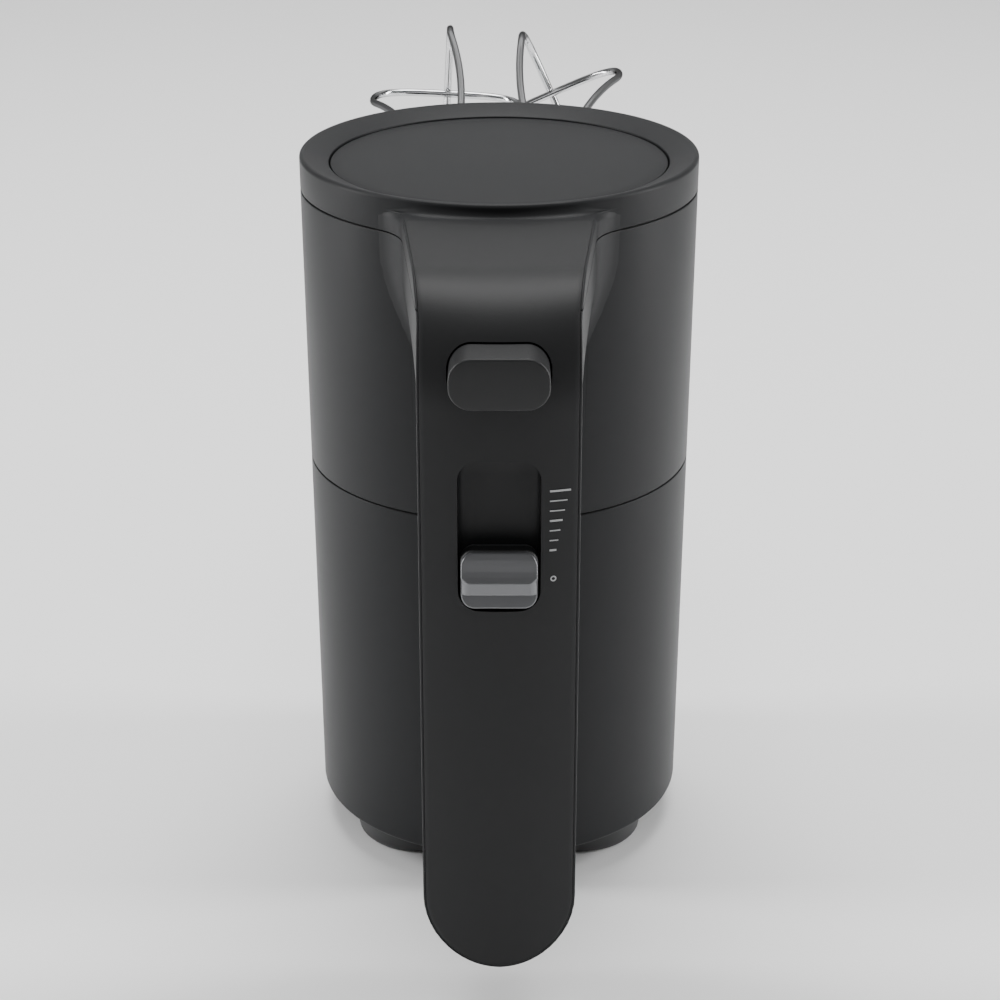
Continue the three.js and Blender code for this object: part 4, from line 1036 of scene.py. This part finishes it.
def cageTree():
    names = ("axisX", "axisZ", "neckRadius", "radius", "startY", "widestY", "tipY", "phase",
             "twistPerMetre", "wireRadius", "nest")
    sizes = dict.fromkeys(names, 0.0)
    tree, size = geometryTree("wireCage", sizes)
    loops = []
    for loop in (0, 1):
        line = addNode(tree, "GeometryNodeMeshLine", {"mode": "OFFSET"}, {"Count": cage["points"]})
        index = addNode(tree, "GeometryNodeInputIndex")
        t = index / (cage["points"] - 1)
        fromTip = (t * 2 - 1).math("ABSOLUTE")
        onSide = fromTip.math("GREATER_THAN", cage["domeShare"])
        onDome = 1 - onSide
        along = (1 - fromTip) / (1 - cage["domeShare"])
        angle = (1 - fromTip / cage["domeShare"]).math("MAXIMUM", 0.0) * (math.pi / 2)
        tip = size["tipY"] - size["nest"] * float(loop)
        cosine = angle.math("COSINE").math("MAXIMUM", 0.0) ** cage["squareness"]
        sine = angle.math("SINE").math("MAXIMUM", 0.0) ** cage["squareness"]
        sideRadius = size["neckRadius"] + (size["radius"] - size["neckRadius"]) * along
        sideY = size["startY"] + (size["widestY"] - size["startY"]) * along
        radius = sideRadius * onSide + size["radius"] * cosine * onDome
        y = sideY * onSide + (size["widestY"] + (tip - size["widestY"]) * sine) * onDome
        half = t.math("GREATER_THAN", 0.5) * math.pi
        twist = (size["widestY"] - y).math("MAXIMUM", 0.0) * size["twistPerMetre"]
        turn = size["phase"] + half + twist + loop * math.pi / 2
        point = addNode(tree, "ShaderNodeCombineXYZ", None, {
            0: size["axisX"] + radius * turn.math("SINE"), 1: y,
            2: size["axisZ"] + radius * turn.math("COSINE")})
        placed = line.node("GeometryNodeSetPosition", None, {"Geometry": line, "Position": point})
        place = addNode(tree, "GeometryNodeInputPosition")
        eased = addNode(tree, "GeometryNodeBlurAttribute", {"data_type": "FLOAT_VECTOR"})
        blur = eased.socket.node
        entry = next(socket for socket in blur.inputs if socket.enabled and socket.name == "Value")
        tree.links.new(place.socket, entry)
        blur.inputs["Iterations"].default_value = cage["softening"]
        result = Link(tree, next(socket for socket in blur.outputs if socket.enabled))
        softened = placed.node("GeometryNodeSetPosition", None, {"Geometry": placed, "Position": result})
        curve = softened.node("GeometryNodeMeshToCurve", None, {0: softened})
        circle = addNode(tree, "GeometryNodeCurvePrimitiveCircle", None,
                         {"Resolution": 20, "Radius": size["wireRadius"]})
        loops.append(curve.node("GeometryNodeCurveToMesh", None,
                                {"Curve": curve, "Profile Curve": circle, "Fill Caps": True}))
    both = addNode(tree, "GeometryNodeJoinGeometry", None, {0: loops})
    endTree(tree, both, finishes["beater_steel"])
    return tree


stem = {"radius": 3.0, "collarRadius": 5.0, "collarAt": 39.4, "grooveAt": 6.0, "socketBore": 5.05}


def makeBeater(side, tree):
    shaftLow = limits(f"{side}_beater_shaft")[0]
    hubLow, hubHigh = limits(f"{side}_beater_hub")
    axis = ((hubLow.x + hubHigh.x) / 2, (hubLow.z + hubHigh.z) / 2)
    body = f"{side}_beater"
    look = beaters[side]
    sizes = {
        "axisX": axis[0] * mm, "axisZ": axis[1] * mm, "neckRadius": cage["neckRadius"] * mm,
        "radius": cage["radius"] * mm, "startY": (hubHigh.y - 2.5) * mm, "widestY": cage["widestY"] * mm,
        "tipY": (cage["widestY"] + cage["dome"]) * mm, "phase": math.radians(look["phase"]),
        "twistPerMetre": math.radians(cage["twist"]) * look["twistSign"] / mm,
        "wireRadius": cage["wire"] * mm, "nest": cage["nest"] * mm,
    }
    wires = [f"{side}_outer_wire", f"{side}_inner_wire"]
    finishPiece(f"{side}Cage", grown(tree, sizes), body, "beater_steel", wires, 60)
    hub = (hubHigh.x - hubLow.x) / 2
    front, back = hubHigh.y, hubLow.y
    crimp = [
        (0, back - 0.4), (2.9, back - 0.4), (hub - 1.2, back), (hub - 0.3, back + 0.5), (hub, back + 1.3),
        (hub, front - 4.2), (hub - 0.45, front - 3.6), (hub - 0.45, front - 2.9), (hub, front - 2.3),
        (hub, front - 0.9), (hub - 0.3, front - 0.3), (hub - 0.9, front), (0, front),
    ]
    newPiece(f"{side}Hub", *turned(crimp, 64, axis, "y"), body, "beater_steel", [f"{side}_beater_hub"])
    start = shaftLow.y
    collar = start + stem["collarAt"]
    groove = collar - stem["grooveAt"]
    radius, wide = stem["radius"], stem["collarRadius"]
    shaft = [
        (0, start), (radius - 0.8, start), (radius - 0.2, start + 0.5), (radius, start + 1.2),
        (radius, groove), (radius - 0.4, groove + 0.4), (radius - 0.4, groove + 1.4),
        (radius, groove + 1.8), (radius, collar), (wide - 0.4, collar), (wide, collar + 0.4),
        (wide, collar + 2.6), (wide - 0.4, collar + 3), (radius, collar + 3), (radius, back), (0, back),
    ]
    rod = turned(shaft, 48, axis, "y")
    newPiece(f"{side}Shaft", *rod, body, "beater_steel", [f"{side}_beater_shaft"])
    low, high = limits(f"{side}_socket_collar")
    outer = (high.x - low.x) / 2
    bore = stem["socketBore"]
    ring = rounded([(bore, low.y, 0), (outer, low.y, 0), (outer, high.y, 0.9), (bore, high.y, 0.5)], 5)
    socket = turned([(p.x, p.y) for p in ring], 64, axis, "y", closed=True)
    newPiece(f"{side}Collar", *socket, "housing", "inner_plastic", [f"{side}_socket_collar"])


makeRearShell()
makeFrontShells()
print("body and grip shells made")
makeCover()
makeTrack()
makeKnob()
makeButton()
makeMarks()
print("grip controls made")
makeCap()
makeFoot()
makeBatteryCase()
makeLatch()
makeScrews()
print("cap, foot, battery case, latch and screws made")
wireCage = cageTree()
for side in beaters:
    makeBeater(side, wireCage)
print("beaters made")


floorSweep = {"front": -3.0, "bendAt": 1.6, "bend": 1.2, "top": 4.0, "halfWidth": 4, "tone": 0.92}


def makeStage():
    mesh = bpy.data.meshes.new("floor")
    bend = floorSweep["bend"]
    sweep = [(floorSweep["front"], 0.0), (floorSweep["bendAt"], 0.0)]
    for i in range(1, 13):
        turn = math.pi / 2 * i / 12
        sweep.append((floorSweep["bendAt"] + bend * math.sin(turn), bend - bend * math.cos(turn)))
    sweep.append((floorSweep["bendAt"] + bend, floorSweep["top"]))
    sides = (-floorSweep["halfWidth"], floorSweep["halfWidth"])
    vertices = [(x, y, z) for y, z in sweep for x in sides]
    faces = [[2 * i, 2 * i + 1, 2 * i + 3, 2 * i + 2] for i in range(len(sweep) - 1)]
    mesh.from_pydata(vertices, [], faces)
    mesh.shade_smooth()
    material = bpy.data.materials.new("paleFloor")
    material.use_nodes = True
    shader = material.node_tree.nodes["Principled BSDF"]
    shader.inputs["Base Color"].default_value = (*[floorSweep["tone"]] * 3, 1)
    shader.inputs["Roughness"].default_value = 0.75
    mesh.materials.append(material)
    floor = bpy.data.objects.new("floor", mesh)
    bpy.context.collection.objects.link(floor)


lights = [  # places and sizes in metres, power in watts; hide leaves out one kind of ray
    {"name": "topSoft", "place": (0.0, 0.4, 1.45), "target": (0, 0, 0.1),
     "size": (1.0, 0.8), "power": 20},
    {"name": "leftStrip", "place": (-1.0, 0.03, 0.45), "target": (0, 0, 0.1),
     "size": (0.22, 1.0), "power": 11},
    {"name": "rightStrip", "place": (1.0, 0.03, 0.45), "target": (0, 0, 0.1),
     "size": (0.22, 1.0), "power": 11},
    {"name": "frontSoft", "place": (0.0, -1.2, 1.7), "target": (0, 0, 0.1),
     "size": (1.4, 0.8), "power": 8, "hide": "visible_glossy"},
    {"name": "frontCard", "place": (0.0, -1.5, 0.95), "target": (0, 0, 0.15),
     "size": (1.4, 0.5), "power": 1.8, "hide": "visible_diffuse"},
    {"name": "backCard", "place": (0.0, 1.6, 1.2), "target": (0, 0, 0.15),
     "size": (1.6, 0.6), "power": 1.4, "hide": "visible_diffuse"},
    {"name": "backSoft", "place": (0.0, 1.2, 2.2), "target": (0, 1.2, 0.0),
     "size": (2.0, 0.6), "power": 18, "hide": "visible_glossy"},
]
worldStrength = 0.13


def makeLights():
    for light in lights:
        data = bpy.data.lights.new(light["name"], "AREA")
        data.shape = "RECTANGLE"
        data.size, data.size_y = light["size"]
        data.energy = light["power"]
        lamp = bpy.data.objects.new(light["name"], data)
        place = Vector(light["place"])
        direction = Vector(light["target"]) - place
        turn = direction.to_track_quat("-Z", "Y").to_matrix().to_4x4()
        lamp.visible_camera = False
        if "hide" in light:
            setattr(lamp, light["hide"], False)
        lamp.matrix_world = Matrix.Translation(place) @ turn
        bpy.context.collection.objects.link(lamp)
    world = bpy.data.worlds.new("studio")
    world.use_nodes = True
    background = world.node_tree.nodes["Background"]
    background.inputs[0].default_value = (1, 1, 1, 1)
    background.inputs[1].default_value = worldStrength
    bpy.context.scene.world = world


cameraView = {"lens": 84.1, "shiftX": 0.0008, "away": 514.35, "aboveSeam": 207.93, "tilt": 23.34}


def makeCamera():
    data = bpy.data.cameras.new("camera")
    data.lens = cameraView["lens"]
    data.sensor_width = 36
    data.shift_x = cameraView["shiftX"]
    data.clip_start = 0.01
    camera = bpy.data.objects.new("camera", data)
    camera.location = (0, -cameraView["away"] * mm, (midSeamZ + cameraView["aboveSeam"]) * mm)
    camera.rotation_euler = (math.radians(90 - cameraView["tilt"]), 0, 0)
    bpy.context.collection.objects.link(camera)
    bpy.context.scene.camera = camera


makeStage()
makeLights()
makeCamera()
bpy.context.view_layer.update()
print("stage, lights and camera made")
